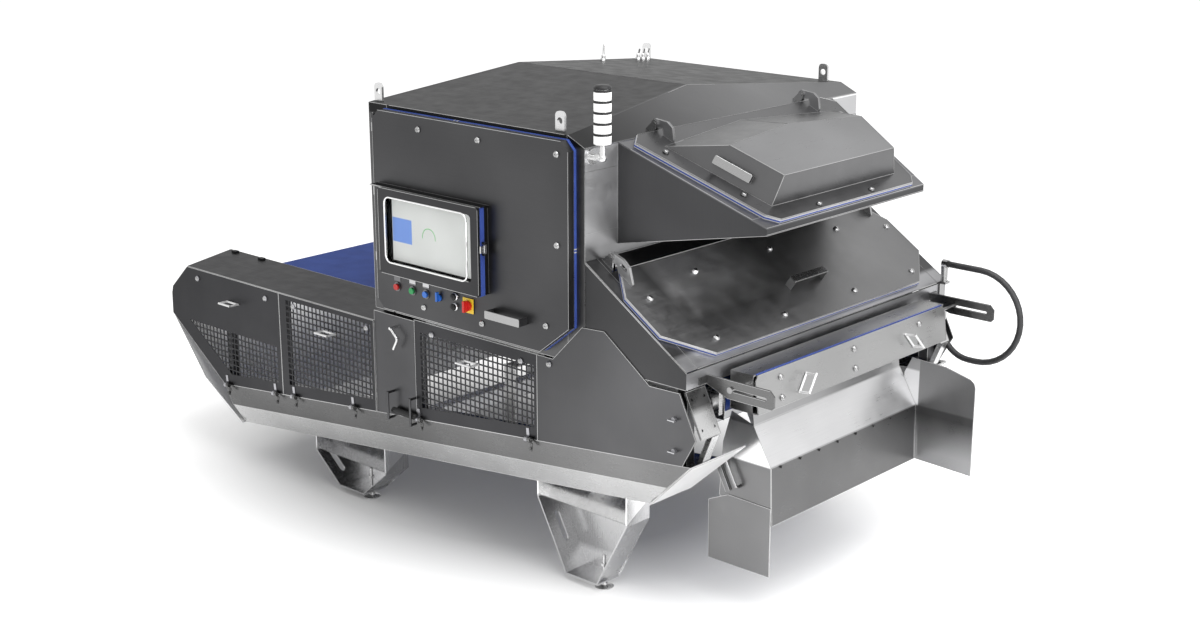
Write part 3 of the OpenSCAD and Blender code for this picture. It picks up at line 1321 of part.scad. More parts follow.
// Bracket plates beside the discharge and the slotted arms that carry the ejector box
hose_y = half_w - 40;
fitting_r = hose_d / 2 + 5;
bracket_y = [half_w - 140, half_w - 15];
bracket_t = 8;
bracket_a = side_seam[5] + [10, 0];
bracket_b = side_edge + [10, 0];
arm_plate_y = half_w - 140;
arm_plate_t = 8;
arm_x = [shoulder_l + 6, shoulder_l + 356];
arm_z = [1110, 1190];
slot_z = 1150;
slot_r = 7;
slide_travel = 180;
pin_x = shoulder_l + 131;
module slotted_arms() {
  color("silver")
  for (s = [-1, 1]) mirror([0, s < 0 ? 1 : 0, 0]) {
    // the far bracket plate leaves room for the air hose
    y1 = s < 0 ? bracket_y[1] : hose_y - fitting_r - 4;
    difference() {
      across(arm_plate_y, arm_plate_y + arm_plate_t) polygon([
        [arm_x[0], arm_z[0] + 40], [arm_x[0] + 110, arm_z[0]], [arm_x[1] - 12, arm_z[0]],
        [arm_x[1], arm_z[0] + 12], [arm_x[1], arm_z[1] - 22], [arm_x[1] - 22, arm_z[1]],
        [arm_x[0], arm_z[1]]]);
      for (x = [pin_x, pin_x + slide_travel])
        translate([x, 0, slot_z]) rotate([-90, 0, 0]) cylinder(h = half_w, r = slot_r);
      translate([pin_x, 0, slot_z - slot_r]) cube([slide_travel, half_w, 2 * slot_r]);
    }
    // foot of the arm on the shoulder front wall
    translate([shoulder_l + gap, arm_plate_y, shoulder_front_z + 5])
      cube([5, 60, arm_z[1] - shoulder_front_z - 8]);
    difference() {
      across(bracket_y[0], y1) polygon(folded([bracket_a, bracket_b], bracket_t));
      for (k = [0.18, 0.82]) for (y = [bracket_y[0] + 22, y1 - 22]) {
        p = bracket_a + k * (bracket_b - bracket_a);
        translate([p[0], y, p[1]])
          rotate([0, 90 - atan2(bracket_b[0] - bracket_a[0], bracket_a[1] - bracket_b[1]), 0])
          translate([0, 0, -20]) cylinder(h = 50, r = 6);
      }
    }
    // stay from the bracket plate to the rail
    across(bracket_y[0] + 10, bracket_y[0] + 60) polygon([
      [rail_x1 - 26, rail_top(rail_x1 - 26) + gap], [rail_x1 - 2, rail_top(rail_x1 - 2) + gap],
      [side_edge[0] + 19, side_edge[1] - gap], [side_edge[0] - 5, side_edge[1] - gap]]);
  }
}

// Ejector box behind the discharge, hung on two pins in the slotted arms
box_x = [shoulder_l + 31, shoulder_l + 178];
box_z = [1017, 1186];
box_y = 740;
box_t = 4;
lid_lean = 23;
slide_pin_r = 6.9;
module ejector_box() {
  color("gray") {
    translate([box_x[0], -box_y, box_z[0]]) cube([box_t, 2 * box_y, box_z[1] - box_z[0]]);
    for (e = [[box_z[0], 6], [box_z[1] - box_t, 28]]) translate([box_x[0] + box_t + gap, -box_y, e[0]])
      cube([box_x[1] - box_x[0] - box_t - e[1], 2 * box_y, box_t]);
    for (s = [-1, 1]) {
      translate([box_x[0] + box_t + gap, s * (box_y - box_t / 2) - box_t / 2,
        box_z[0] + box_t + gap])
        cube([box_x[1] - box_x[0] - box_t - 30, box_t, box_z[1] - box_z[0] - 2 * (box_t + gap)]);
      translate([pin_x, s * (box_y + gap), slot_z]) rotate([s * -90, 0, 0])
        cylinder(h = arm_plate_y + arm_plate_t + 8 - box_y, r = slide_pin_r);
      translate([pin_x, s * (arm_plate_y + arm_plate_t + gap), slot_z]) rotate([s * -90, 0, 0])
        cylinder(h = 8, r = 14);
    }
  }
}

// Valve manifold inside the ejector box
valve_n = 16;
valve_s = [14, 24, 40];
manifold_s = [34, 70];
manifold_end = 60;
module ejector_manifold() {
  x = box_x[0] + box_t + gap;
  z = box_z[0] + 40;
  valve_x = x + manifold_s[0] + gap;
  valve_run = 2 * (box_y - manifold_end - 30) - valve_s[1];
  color("black") {
    translate([x, -box_y + manifold_end, z]) cube([manifold_s[0], 2 * (box_y - manifold_end), manifold_s[1]]);
    for (k = [0:valve_n - 1])
      translate([valve_x, (k / (valve_n - 1) - 0.5) * valve_run - valve_s[1] / 2, z + 16])
        cube(valve_s);
  }
}

// Cover of the ejector box, lifted off by two wire handles after turning six latches
cover_y = 702;
cover_lean = atan(lid_lean / (box_z[1] - box_z[0]));
module ejector_cover() {
  color("gray")
  translate([box_x[1] - lid_lean - 2, 0, box_z[1] - 4]) rotate([0, 90 - cover_lean, 0]) {
    cover_h = (box_z[1] - box_z[0]) / cos(cover_lean) - 2;
    linear_extrude(5) polygon([
      [0, -cover_y - 18], [24, -cover_y - 34], [cover_h, -cover_y - 34], [cover_h, cover_y + 34],
      [24, cover_y + 34], [0, cover_y + 18]]);
    for (u = [42, 132]) for (y = [-567, -20, 512]) translate([u, y, 5 + gap]) latch_head();
    for (s = [-1, 1]) translate([cover_h * 0.6, s * 420, 5 + gap]) rotate([0, 0, s * 40]) wire_handle();
  }
}

// Chute: a folded sheet with side plates, a lower flap on the near side and a wing on the far side
chute_x = shoulder_l;
chute_path = [[chute_x + 21, 975], [chute_x + 31, 890], [chute_x + 131, 717], [chute_x + 142, 449]];
chute_stud_r = 6;
chute_far_x = chute_x + 446;
pull_r = 7;
pull_out = 31;
strip_a = [chute_x - 175, 683];
strip_b = [chute_x - 106, 550];
handle_a = [chute_x - 102, 721];
handle_b = [chute_x - 32, 594];
module chute() {
  color("silver") {
    across(-chute_y, chute_y) polygon(folded(chute_path, -chute_t));
    for (k = [0:7]) translate([chute_x + 131 + 0.6, -chute_y + 70 + k * (2 * chute_y - 140) / 7, 706])
      rotate([0, 90, 0]) cylinder(h = 8, r = chute_stud_r);
    both_sides() across(chute_y + gap, chute_y + gap + chute_t) polygon([
      [chute_x - 149, 520], [chute_x + 138, 512], chute_path[2], chute_path[1],
      [chute_x - 89, 930], [chute_x - 132, 779]]);
    // near flap below the side plate
    outer_y = chute_y + chute_t + 2 * gap;
    across(-outer_y - chute_t, -outer_y) polygon([
      [chute_x - 204, 206], [chute_x + 138, 208], [chute_x + 138, 530], [chute_x - 97, 536],
      [chute_x - 208, 486]]);
    across(outer_y, outer_y + chute_t) polygon([
      [chute_x + 60, 868], [chute_x + 99, 948], [chute_x + 284, 938], [chute_x + 420, 905],
      [chute_x + 439, 890], [chute_far_x, 869], [chute_far_x, 435], [chute_x + 144, 447],
      [chute_x + 60, 600]]);
    // guide strips and pull bars on the side plates
    for (s = [-1, 1]) {
      y = s * outer_y;
      mirror([0, s < 0 ? 1 : 0, 0]) across(outer_y, outer_y + 10) polygon(folded([strip_a, strip_b], 24));
      for (p = [handle_a, handle_b])
        bar([p[0], y, p[1]], [p[0], y + s * (pull_out - pull_r - gap), p[1]], pull_r);
      bar([handle_a[0], y + s * pull_out, handle_a[1]], [handle_b[0], y + s * pull_out, handle_b[1]], pull_r);
    }
  }
}

// Air hose in one plane: out of its fitting, down a half turn, back and up into the socket
hose_r = 230;
hose_back_r = 158;
hose_top = [shoulder_l + 216, 1322];
hose_start_x = shoulder_l + 36;
hose_mid = [hose_top[0], hose_top[1] - hose_r];
hose_low_z = hose_top[1] - 2 * hose_r;
hose_back_x = shoulder_l + 176;
hose_end_z = hose_low_z + hose_back_r + 22;
module hose_bend(at, r, from, turn) {
  translate([at[0], hose_y, at[1]]) rotate([90, 0, 0]) rotate([0, 0, from])
    rotate_extrude(angle = turn) translate([r, 0]) circle(hose_d / 2);
}
module hose_run(from, to) {
  bar([from[0], hose_y, from[1]], [to[0], hose_y, to[1]], hose_d / 2);
}
module air_hose() {
  color("dimgray") {
    hose_run([hose_start_x, hose_top[1]], hose_top);
    hose_bend(hose_mid, hose_r, -90, 180);
    hose_run([hose_top[0], hose_low_z], [hose_back_x, hose_low_z]);
    hose_bend([hose_back_x, hose_low_z + hose_back_r], hose_back_r, 180, 90);
    hose_run([hose_back_x - hose_back_r, hose_low_z + hose_back_r], [hose_back_x - hose_back_r, hose_end_z]);
  }
}
module hose_fittings() {
  socket_x = hose_back_x - hose_back_r;
  top_z = shoulder_z(shoulder_l);
  wall_x = shoulder_l + gap;
  color("dimgray") {
    // elbow over the end of the shoulder
    translate([hose_start_x - gap, hose_y, hose_top[1]]) rotate([0, -90, 0])
      cylinder(h = 30, r = fitting_r);
    translate([hose_start_x - fitting_r - 1, hose_y, top_z + 4])
      cylinder(h = hose_top[1] - top_z - 4, r = fitting_r - 3);
    // socket on its bracket at the shoulder's front wall
    translate([socket_x, hose_y, hose_end_z + gap]) cylinder(h = 46, r = fitting_r);
    translate([wall_x, hose_y - 16, hose_end_z + 10]) cube([socket_x - shoulder_l, 32, 40]);
    translate([wall_x, hose_y - 20, hose_end_z + 12]) cube([6, 40, top_z - hose_end_z - 20]);
    // foot of the elbow, on the end of the shoulder
    translate([wall_x, hose_y - 20, top_z - 7.4]) cube([hose_start_x - shoulder_l, 40, 12]);
  }
}

// Every part sits with the middle of the machine's footprint over the origin
grip_reach = half_w + gap + guard_t + gap + grip_out;
x_mid = (infeed_x0 + chute_far_x) / 2;
y_mid = (screen_front_y + grip_reach) / 2;
module placed() {
  translate([-x_mid, -y_mid, 0]) children();
}

placed() side_rails();
placed() cross_members();
placed() leg_infeed_near();
placed() leg_infeed_far();
placed() leg_discharge_near();
placed() leg_discharge_far();
placed() foot_infeed_near();
placed() foot_infeed_far();
placed() foot_discharge_near();
placed() foot_discharge_far();
placed() support_posts();
placed() infeed_top_covers();
placed() side_cover_near();
placed() side_cover_far();
placed() cabinet_shell();
placed() shoulder_shell();
placed() optics_shell();
placed() control_backplate();
placed() belt();
placed() belt_bed();
placed() bearing_units();
placed() drive_motor();
placed() head_pulley();
placed() tail_pulley();
placed() lifting_eyes();
placed() cable_glands();
placed() stack_light();
placed() housing_seals();
placed() camera_units();
placed() scan_window();
placed() light_bars();
placed() cabinet_door();
placed() door_latches();
placed() door_hinges();
placed() screen_box();
placed() screen_panel();
placed() screen_door();
placed() screen_pane();
placed() screen_clasp();
placed() red_button();
placed() green_button();
placed() blue_button();
placed() selector_lever();
placed() isolator_knob();
placed() upper_hatch();
placed() lower_hatch();
placed() guard_infeed_near();
placed() guard_middle_near();
placed() guard_under_near();
placed() guard_infeed_far();
placed() guard_middle_far();
placed() guard_under_far();
placed() rod_handle();
placed() slotted_arms();
placed() ejector_box();
placed() ejector_cover();
placed() ejector_manifold();
placed() chute();
placed() air_hose();
placed() hose_fittings();
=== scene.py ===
import bpy
import numpy as np
import json
from math import radians, pi, sin, cos, tan, atan2
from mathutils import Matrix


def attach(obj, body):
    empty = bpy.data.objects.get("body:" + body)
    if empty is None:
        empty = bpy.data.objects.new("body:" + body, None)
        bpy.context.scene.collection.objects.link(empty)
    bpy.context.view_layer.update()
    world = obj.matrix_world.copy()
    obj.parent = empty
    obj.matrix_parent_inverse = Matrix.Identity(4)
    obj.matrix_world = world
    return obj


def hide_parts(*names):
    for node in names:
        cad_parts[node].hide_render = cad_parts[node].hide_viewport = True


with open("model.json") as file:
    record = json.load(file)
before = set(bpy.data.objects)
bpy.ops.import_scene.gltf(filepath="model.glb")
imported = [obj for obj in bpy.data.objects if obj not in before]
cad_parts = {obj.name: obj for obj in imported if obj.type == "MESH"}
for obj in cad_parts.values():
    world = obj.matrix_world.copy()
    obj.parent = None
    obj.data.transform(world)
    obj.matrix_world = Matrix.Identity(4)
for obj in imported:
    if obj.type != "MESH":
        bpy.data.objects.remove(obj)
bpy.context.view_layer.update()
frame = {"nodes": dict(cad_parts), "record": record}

# Camera: a product shot from the discharge corner on the operator's side, a little above
# the hatches, with a moderately long lens. The machine's own place is its middle on the floor.
middle_x, middle_y = -1.0495, -0.0242
camera_data = bpy.data.cameras.new("camera")
camera_data.lens = 52.96
camera_data.sensor_width = 36.0
camera_data.clip_end = 100.0
camera = bpy.data.objects.new("camera", camera_data)
camera.location = (4.978 - middle_x, -6.360 - middle_y, 3.493)
camera.rotation_euler = (radians(90 - 16.216), 0.0, radians(42.379))
bpy.context.scene.collection.objects.link(camera)
bpy.context.scene.camera = camera


# Air hose: black reinforced rubber, 30 mm thick, from the elbow on the shoulder out past the
# ejector box in a half turn and back up into its socket beside the box. A screwed fitting holds
# each end.
def hose_route(x0, top, radius, back_radius, plane_y, ahead=0.18, back=0.14, rise=0.022):
    """Straight out, a half circle down, straight back, then a quarter circle up:
    each bend is centre plus radius times (sine, cosine) of an even run of angles."""
    start = np.array([[x0, top], [x0 + 0.05, top], [x0 + 0.11, top]])
    turn = np.linspace(pi / 2, -pi / 2, 19)
    half = np.stack([x0 + ahead + radius * np.cos(turn), top - radius + radius * np.sin(turn)], axis=1)
    turn = np.linspace(-pi / 2, -pi, 10)
    middle_z = top - 2 * radius + back_radius
    middle = x0 + back
    quarter = np.stack([middle + back_radius * np.cos(turn), middle_z + back_radius * np.sin(turn)], axis=1)
    end = np.array([[middle - back_radius, middle_z + rise]])
    flat = np.concatenate([start, half, quarter, end])
    return np.stack([flat[:, 0], np.full(len(flat), plane_y), flat[:, 1]], axis=1)


def piece(name, verts, faces, smooth=True):
    """A new object whose mesh holds the given points and faces, with its place in the mesh."""
    mesh = bpy.data.meshes.new(name)
    mesh.from_pydata([tuple(v) for v in np.asarray(verts, float)], [], faces)
    mesh.update()
    if smooth:
        mesh.polygons.foreach_set("use_smooth", np.ones(len(mesh.polygons), dtype=bool))
    obj = bpy.data.objects.new(name, mesh)
    bpy.context.scene.collection.objects.link(obj)
    return obj


def tube(name, path, radius, sides=24):
    """A round tube along a path: at each point the ring is the point plus radius times
    (cosine of the angle on the side vector plus sine of the angle on the up vector)."""
    path = np.asarray(path, float)
    ahead = np.gradient(path, axis=0)
    ahead /= np.linalg.norm(ahead, axis=1, keepdims=True)
    side = np.cross(ahead, [0.0, 0.0, 1.0])
    if np.linalg.norm(side, axis=1).min() < 0.05:
        side = np.cross(ahead, [0.0, 1.0, 0.0])
    if np.linalg.norm(side, axis=1).min() < 0.05:
        side = np.cross(ahead, [1.0, 0.0, 0.0])
    side /= np.linalg.norm(side, axis=1, keepdims=True)
    up = np.cross(side, ahead)
    angle = np.linspace(0, 2 * pi, sides, endpoint=False)[None, :, None]
    rings = path[:, None] + radius * (np.cos(angle) * side[:, None] + np.sin(angle) * up[:, None])
    n = len(path)
    verts = np.concatenate([rings.reshape(-1, 3), path[:1], path[-1:]])
    i, j = np.meshgrid(np.arange(n - 1), np.arange(sides), indexing="ij")
    a = i * sides + j
    b = i * sides + (j + 1) % sides
    quads = np.stack([a, b, b + sides, a + sides], axis=-1).reshape(-1, 4)
    k = np.arange(sides)
    first = np.stack([np.full(sides, n * sides), (k + 1) % sides, k], axis=1)
    rim = (n - 1) * sides
    last = np.stack([np.full(sides, n * sides + 1), rim + k, rim + (k + 1) % sides], axis=1)
    return piece(name, verts, quads.tolist() + first.tolist() + last.tolist())


def shader(name):
    """A new material with its node tree, its Principled shader and the object coordinates."""
    material = bpy.data.materials.new(name)
    material.use_nodes = True
    tree = material.node_tree
    return material, tree, tree.nodes["Principled BSDF"], tree.nodes.new("ShaderNodeTexCoord")


def noise(tree, coords, stretch, scale, detail=3.0):
    """Noise of the object coordinates, stretched by a Mapping node's scale."""
    mapping = tree.nodes.new("ShaderNodeMapping")
    mapping.inputs["Scale"].default_value = stretch
    tree.links.new(coords.outputs["Object"], mapping.inputs["Vector"])
    texture = tree.nodes.new("ShaderNodeTexNoise")
    texture.inputs["Scale"].default_value = scale
    texture.inputs["Detail"].default_value = detail
    tree.links.new(mapping.outputs["Vector"], texture.inputs["Vector"])
    return texture.outputs["Fac"]


def spread(tree, fac, low, high, low_at=0.3, high_at=0.7):
    """The factor's middle band, from low_at to high_at, stretched to the range low to high."""
    node = tree.nodes.new("ShaderNodeMapRange")
    node.inputs["From Min"].default_value = low_at
    node.inputs["From Max"].default_value = high_at
    node.inputs["To Min"].default_value = low
    node.inputs["To Max"].default_value = high
    tree.links.new(fac, node.inputs["Value"])
    return node.outputs["Result"]


def shade_between(tree, fac, dark, light):
    """A colour between dark and light by the factor."""
    node = tree.nodes.new("ShaderNodeMix")
    node.data_type = "RGBA"
    node.inputs["A"].default_value = (*dark, 1.0)
    node.inputs["B"].default_value = (*light, 1.0)
    tree.links.new(fac, node.inputs["Factor"])
    return node.outputs["Result"]


def relief(tree, bsdf, fac, strength, distance):
    """The factor as a bump in the shader's normal."""
    node = tree.nodes.new("ShaderNodeBump")
    node.inputs["Strength"].default_value = strength
    node.inputs["Distance"].default_value = distance
    tree.links.new(fac, node.inputs["Height"])
    tree.links.new(node.outputs["Normal"], bsdf.inputs["Normal"])


def matte(name, dark, light, roughness=0.6, grain=220.0, depth=0.0004, sheen=0.5):
    """Moulded plastic or rubber: two close colours by a wide noise, and a fine grain in relief."""
    material, tree, bsdf, coords = shader(name)
    wide = noise(tree, coords, (1, 1, 1), 9.0)
    tree.links.new(shade_between(tree, spread(tree, wide, 0, 1), dark, light), bsdf.inputs["Base Color"])
    fine = noise(tree, coords, (1, 1, 1), grain)
    tree.links.new(spread(tree, fine, roughness - 0.06, roughness + 0.06), bsdf.inputs["Roughness"])
    bsdf.inputs["Specular IOR Level"].default_value = sheen
    relief(tree, bsdf, fine, 0.25, depth)
    return material


hose_skin = matte("hose_skin", (0.012, 0.012, 0.013), (0.03, 0.03, 0.032), 0.5, 160.0)
hose_thick = 0.03
hose_x, hose_y, hose_top = 0.569 + 0.036 - middle_x, 0.960 - middle_y, 1.322
bend_radius, back_bend_radius = 0.230, 0.158
route = hose_route(hose_x, hose_top, bend_radius, back_bend_radius, hose_y)
hose = tube("hose_outer", route, hose_thick / 2)
hose.data.materials.append(hose_skin)
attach(hose, "machine")
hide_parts("air_hose")


# Perforated guards: six folded stainless plates with punched square holes below a plain field.
# They are hinged along the rail and held by latches. The sheet's near-black colour is a painted dark
# reflection, and the grips and latches that stand past its face get a painted highlight, eight times
# brighter.
def brushed(name, dark, light, roughness=0.34, along="x", streak=0.10, metallic=1.0, painted_light=(), edge=1.0):
    """Tone from a wide noise plus streaks: noise whose coordinates are squeezed across the brush direction
    and drawn out along it; the same streaks set the roughness and a slight relief. Each entry of
    painted_light (gain, (direction, low, high), ...) is painted light or shade: it scales the colour by gain
    where the place along each direction, its dot product with the object coordinates, is past high, and by 1
    before low. It is a painted reflection where the sheet turns to another side of the room, and a painted
    highlight where it gives way to a grip. The edge value dulls the sheet where it is seen at a flat angle."""
    material, tree, bsdf, coords = shader(name)
    squeeze = {"x": (0.9, 60, 60), "y": (60, 0.9, 60), "z": (60, 60, 0.9)}[along]
    wide = noise(tree, coords, (1, 1, 1), 1.3, 2.0)
    lines = noise(tree, coords, squeeze, 6.0, 4.0)
    marks = noise(tree, coords, (1, 1, 1), 14.0, 5.0)
    mixed = tree.nodes.new("ShaderNodeMath")
    mixed.operation = "MULTIPLY_ADD"
    tree.links.new(spread(tree, lines, -streak, streak, 0.25, 0.75), mixed.inputs[0])
    mixed.inputs[1].default_value = 1.0
    tree.links.new(spread(tree, wide, 0.0, 1.0), mixed.inputs[2])
    colour = shade_between(tree, mixed.outputs["Value"], dark, light)
    # Painted light and shade: each entry scales the colour by its gain inside its masks.
    for gain, *ranges in painted_light:
        weight = None
        for direction, low, high in ranges:
            place = tree.nodes.new("ShaderNodeVectorMath")
            place.operation = "DOT_PRODUCT"
            tree.links.new(coords.outputs["Object"], place.inputs[0])
            place.inputs[1].default_value = direction
            past = spread(tree, place.outputs["Value"], 0.0, 1.0, low, high)
            if weight is not None:
                both = tree.nodes.new("ShaderNodeMath")
                both.operation = "MULTIPLY"
                tree.links.new(weight, both.inputs[0])
                tree.links.new(past, both.inputs[1])
                past = both.outputs["Value"]
            weight = past
        scaled = tree.nodes.new("ShaderNodeVectorMath")
        scaled.operation = "SCALE"
        tree.links.new(colour, scaled.inputs[0])
        tree.links.new(spread(tree, weight, 1.0, gain, 0.0, 1.0), scaled.inputs["Scale"])
        colour = scaled.outputs["Vector"]
    tree.links.new(colour, bsdf.inputs["Base Color"])
    bsdf.inputs["Metallic"].default_value = metallic
    rough = tree.nodes.new("ShaderNodeMath")
    rough.operation = "ADD"
    tree.links.new(spread(tree, lines, -0.04, 0.04), rough.inputs[0])
    tree.links.new(spread(tree, marks, roughness - 0.03, roughness + 0.05), rough.inputs[1])
    tree.links.new(rough.outputs["Value"], bsdf.inputs["Roughness"])
    bsdf.inputs["Specular Tint"].default_value = (edge, edge, edge, 1.0)
    relief(tree, bsdf, lines, 0.04, 0.00005)
    return material


def finish_node(material, *names):
    """The material in every slot of the named CAD nodes."""
    for name in names:
        node = frame["nodes"][name]
        if not node.material_slots:
            node.data.materials.append(material)
        for slot in node.material_slots:
            slot.material = material


past_face = 0.0002
near_way, far_way, up_way, discharge_way = (0, -1, 0), (0, 1, 0), (0, 0, 1), (1, 0, 0)
steel_guard = brushed("steel_guard", (0.04, 0.04, 0.042), (0.06, 0.06, 0.063), 0.36, edge=0.6,
                      painted_light=[(8.0, (near_way, 0.97915, 0.97915 + past_face)),
                             (8.0, (far_way, 1.02755, 1.02755 + past_face))])
finish_node(steel_guard, "guard_infeed_near", "guard_middle_near", "guard_under_near", "guard_infeed_far",
            "guard_middle_far", "guard_under_far")

# Side covers beside the discharge: folded stainless plates that lift off, brushed upright. Their near-black
# colour is a painted dark reflection, painted light makes them paler towards the discharge, and the screw
# heads past their faces get a painted highlight.
steel_cover = brushed("steel_cover", (0.064, 0.064, 0.066), (0.09, 0.09, 0.093), 0.36, "z",
                      painted_light=[(1.5, (discharge_way, 0.75, 1.7)),
                             (4.5, (near_way, 0.98015, 0.98015 + past_face)),
                             (4.5, (far_way, 1.02855, 1.02855 + past_face))])
finish_node(steel_cover, "side_cover_near", "side_cover_far")

# Wide post and rear columns: folded stainless sheet brushed upright, welded to the rails and to
# the floor of the cabinet.
# Its near-black colour is a painted dark reflection.
steel_post = brushed("steel_post", (0.075, 0.075, 0.078), (0.105, 0.105, 0.108), 0.36, "z", edge=0.7)
finish_node(steel_post, "support_posts")

# Cabinet door: a pressed stainless panel, brushed crosswise, on three hinges. Its near-black colour is a
# painted dark reflection, and a painted highlight makes the plate handle below paler than the sheet; the
# latches and hinges are machined and polished.
steel_door = brushed("steel_door", (0.058, 0.058, 0.06), (0.085, 0.085, 0.087), 0.36,
                     painted_light=[(2.2, (near_way, 1.02585, 1.02585 + past_face), (up_way, 1.345, 1.34))])
finish_node(steel_door, "cabinet_door")
steel_latch = brushed("steel_latch", (0.34, 0.34, 0.34), (0.5, 0.5, 0.5), 0.2)
finish_node(steel_latch, "door_latches", "door_hinges")

# Cabinet shell: welded stainless sheet with a gable roof, a sloped front and an upright end wall.
# Painted shade darkens the roof, more so on its far side, and halves the parts standing past its sides.
# Painted light brightens the front slope towards the far side, and the end wall towards its top.
slope_way = (tan(radians(24.8)), 0, 1)
slope_at = 2.093 - tan(radians(24.8)) * middle_x
front_slope = (slope_way, slope_at - 0.009, slope_at - 0.002)
behind_slope = (slope_way, slope_at - 0.002, slope_at - 0.009)
over_eaves, under_eaves = (up_way, 2.085, 2.097), (up_way, 2.097, 2.085)
end_wall = (discharge_way, 1.0478, 1.0488)
steel_roof = brushed("steel_roof", (0.2, 0.2, 0.203), (0.235, 0.235, 0.238), 0.34, edge=0.68,
                     painted_light=[(0.22, over_eaves), (0.9, front_slope),
                            (5.6, front_slope, (far_way, -0.9, 0.4)),
                            (1.1, end_wall, under_eaves),
                            (2.6, end_wall, under_eaves, (up_way, 1.65, 1.85)),
                            (0.42, (far_way, 0.022, 0.026), over_eaves, behind_slope),
                            (0.5, (near_way, 0.9752, 0.9757)), (0.5, (far_way, 1.0236, 1.0241))])
finish_node(steel_roof, "cabinet_shell")

# Optics shell: tapered stainless sheet under the upper hatch, welded to the cabinet's end wall and brushed
# upright. Its near-black colour is a painted dark reflection, and a painted highlight makes its front slope
# brighter.
steel_housing = brushed("steel_housing", (0.055, 0.055, 0.057), (0.08, 0.08, 0.083), 0.36, "z",
                        painted_light=[(2.7, front_slope)])
finish_node(steel_housing, "optics_shell")

# Side rails: thick folded stainless channels that rise towards the discharge. Painted shade darkens the top
# band to about a sixth, painted light brightens it towards the discharge, and the sloped flank below it is
# bright.
rail_turn = radians(6.35)
rail_way = (-sin(rail_turn), 0, cos(rail_turn))
rail_top_at = cos(rail_turn) * 0.749 + sin(rail_turn) * middle_x
rail_band = (rail_way, rail_top_at - 0.125, rail_top_at - 0.121)
steel_rail = brushed("steel_rail", (0.46, 0.46, 0.46), (0.74, 0.74, 0.74), 0.24,
                     painted_light=[(0.17, rail_band), (1.85, rail_band, (discharge_way, -1.8, 1.2))])
finish_node(steel_rail, "side_rails")

# Cross beams, sloped end plates and the bed under the belt: pale bead-blasted stainless, welded
# between the rails.
steel_cross = brushed("steel_cross", (0.7, 0.7, 0.7), (0.85, 0.85, 0.85), 0.4, metallic=0.3)
finish_node(steel_cross, "cross_members", "belt_bed")

# Legs: four boxes of inclined stainless plates welded under the rails, brushed upright. Painted highlights
# brighten the lower part of the back plates and the leaning cross plates.
low_down = (up_way, 0.145, 0.11)
ramp_way = (0, -0.5, 0.866)
steel_leg = brushed("steel_leg", (0.42, 0.42, 0.425), (0.56, 0.56, 0.565), 0.24, "z",
                    painted_light=[(1.9, (far_way, -0.7045, -0.704), (near_way, -0.1, 0.0), low_down),
                           (1.9, (near_way, -0.7525, -0.752), (far_way, -0.1, 0.0), low_down),
                           (1.5, (ramp_way, 0.598, 0.6), (discharge_way, 0.1, 0.0)),
                           (1.9, (ramp_way, 0.756, 0.758), (discharge_way, 0.0, 0.1))])
finish_node(steel_leg, "leg_infeed_near", "leg_infeed_far", "leg_discharge_near", "leg_discharge_far")

# Infeed top covers: brushed stainless strips beside the belt, screwed to small brackets, their near-black
# colour a painted dark reflection. They are dulled so that they stay dark where they are seen at a flat
# angle.
steel_top = brushed("steel_top", (0.05, 0.05, 0.052), (0.07, 0.07, 0.072), 0.34, edge=0.6)
finish_node(steel_top, "infeed_top_covers")

# Screen box and its hinged front: folded stainless sheet, brushed crosswise, screwed to the
# cabinet door. The display sits inside behind a clear pane.
# Their near-black colour is a painted dark reflection.
steel_frame = brushed("steel_frame", (0.045, 0.045, 0.047), (0.065, 0.065, 0.067), 0.34, edge=0.6)
finish_node(steel_frame, "screen_box", "screen_door")

# Shoulder shell: the welded stainless housing under the lower hatch, brushed across. Its near-black colour
# and its darker near side are painted shade, and a painted highlight brightens the lip in front of the hatch.
steel_shoulder = brushed("steel_shoulder", (0.075, 0.075, 0.077), (0.11, 0.11, 0.113), 0.34, "y",
                         painted_light=[(0.62, (near_way, 0.974, 0.9755)),
                                (4.6, (discharge_way, 1.54, 1.56), (near_way, 0.9755, 0.974),
                                 (far_way, 1.0239, 1.0224))])
finish_node(steel_shoulder, "shoulder_shell")

# Upper hatch: a pressed stainless lid with a raised bump, brushed across, on two arms over the optics. Its
# dark colour is painted shade, and painted highlights make the bump's top, the plate's cut edge and the arms
# brighter than the lid.
optic_turn, plate_top = radians(24.8), 0.0206
optic_way = (sin(optic_turn), 0, cos(optic_turn))
optic_at = cos(optic_turn) * 2.093 - sin(optic_turn) * middle_x
optic_top = optic_at + plate_top
down_slope = (cos(optic_turn), 0, -sin(optic_turn))
arm_end = -cos(optic_turn) * middle_x - sin(optic_turn) * 2.093 + 0.11
over_plate = (optic_way, optic_top + 0.0001, optic_top + 0.0004)
up_from_arm_end = (down_slope, arm_end + 0.002, arm_end)
steel_hatch = brushed("steel_hatch", (0.115, 0.115, 0.117), (0.155, 0.155, 0.158), 0.32, "y",
                      painted_light=[(1.9, (slope_way, slope_at + 0.1635, slope_at + 0.1645)),
                             (2.4, (optic_way, optic_top - 0.0001, optic_top - 0.0004)),
                             (2.6, over_plate, up_from_arm_end, (near_way, 0.45, 0.46)),
                             (2.6, over_plate, up_from_arm_end, (far_way, 0.5, 0.51))])
finish_node(steel_hatch, "upper_hatch")

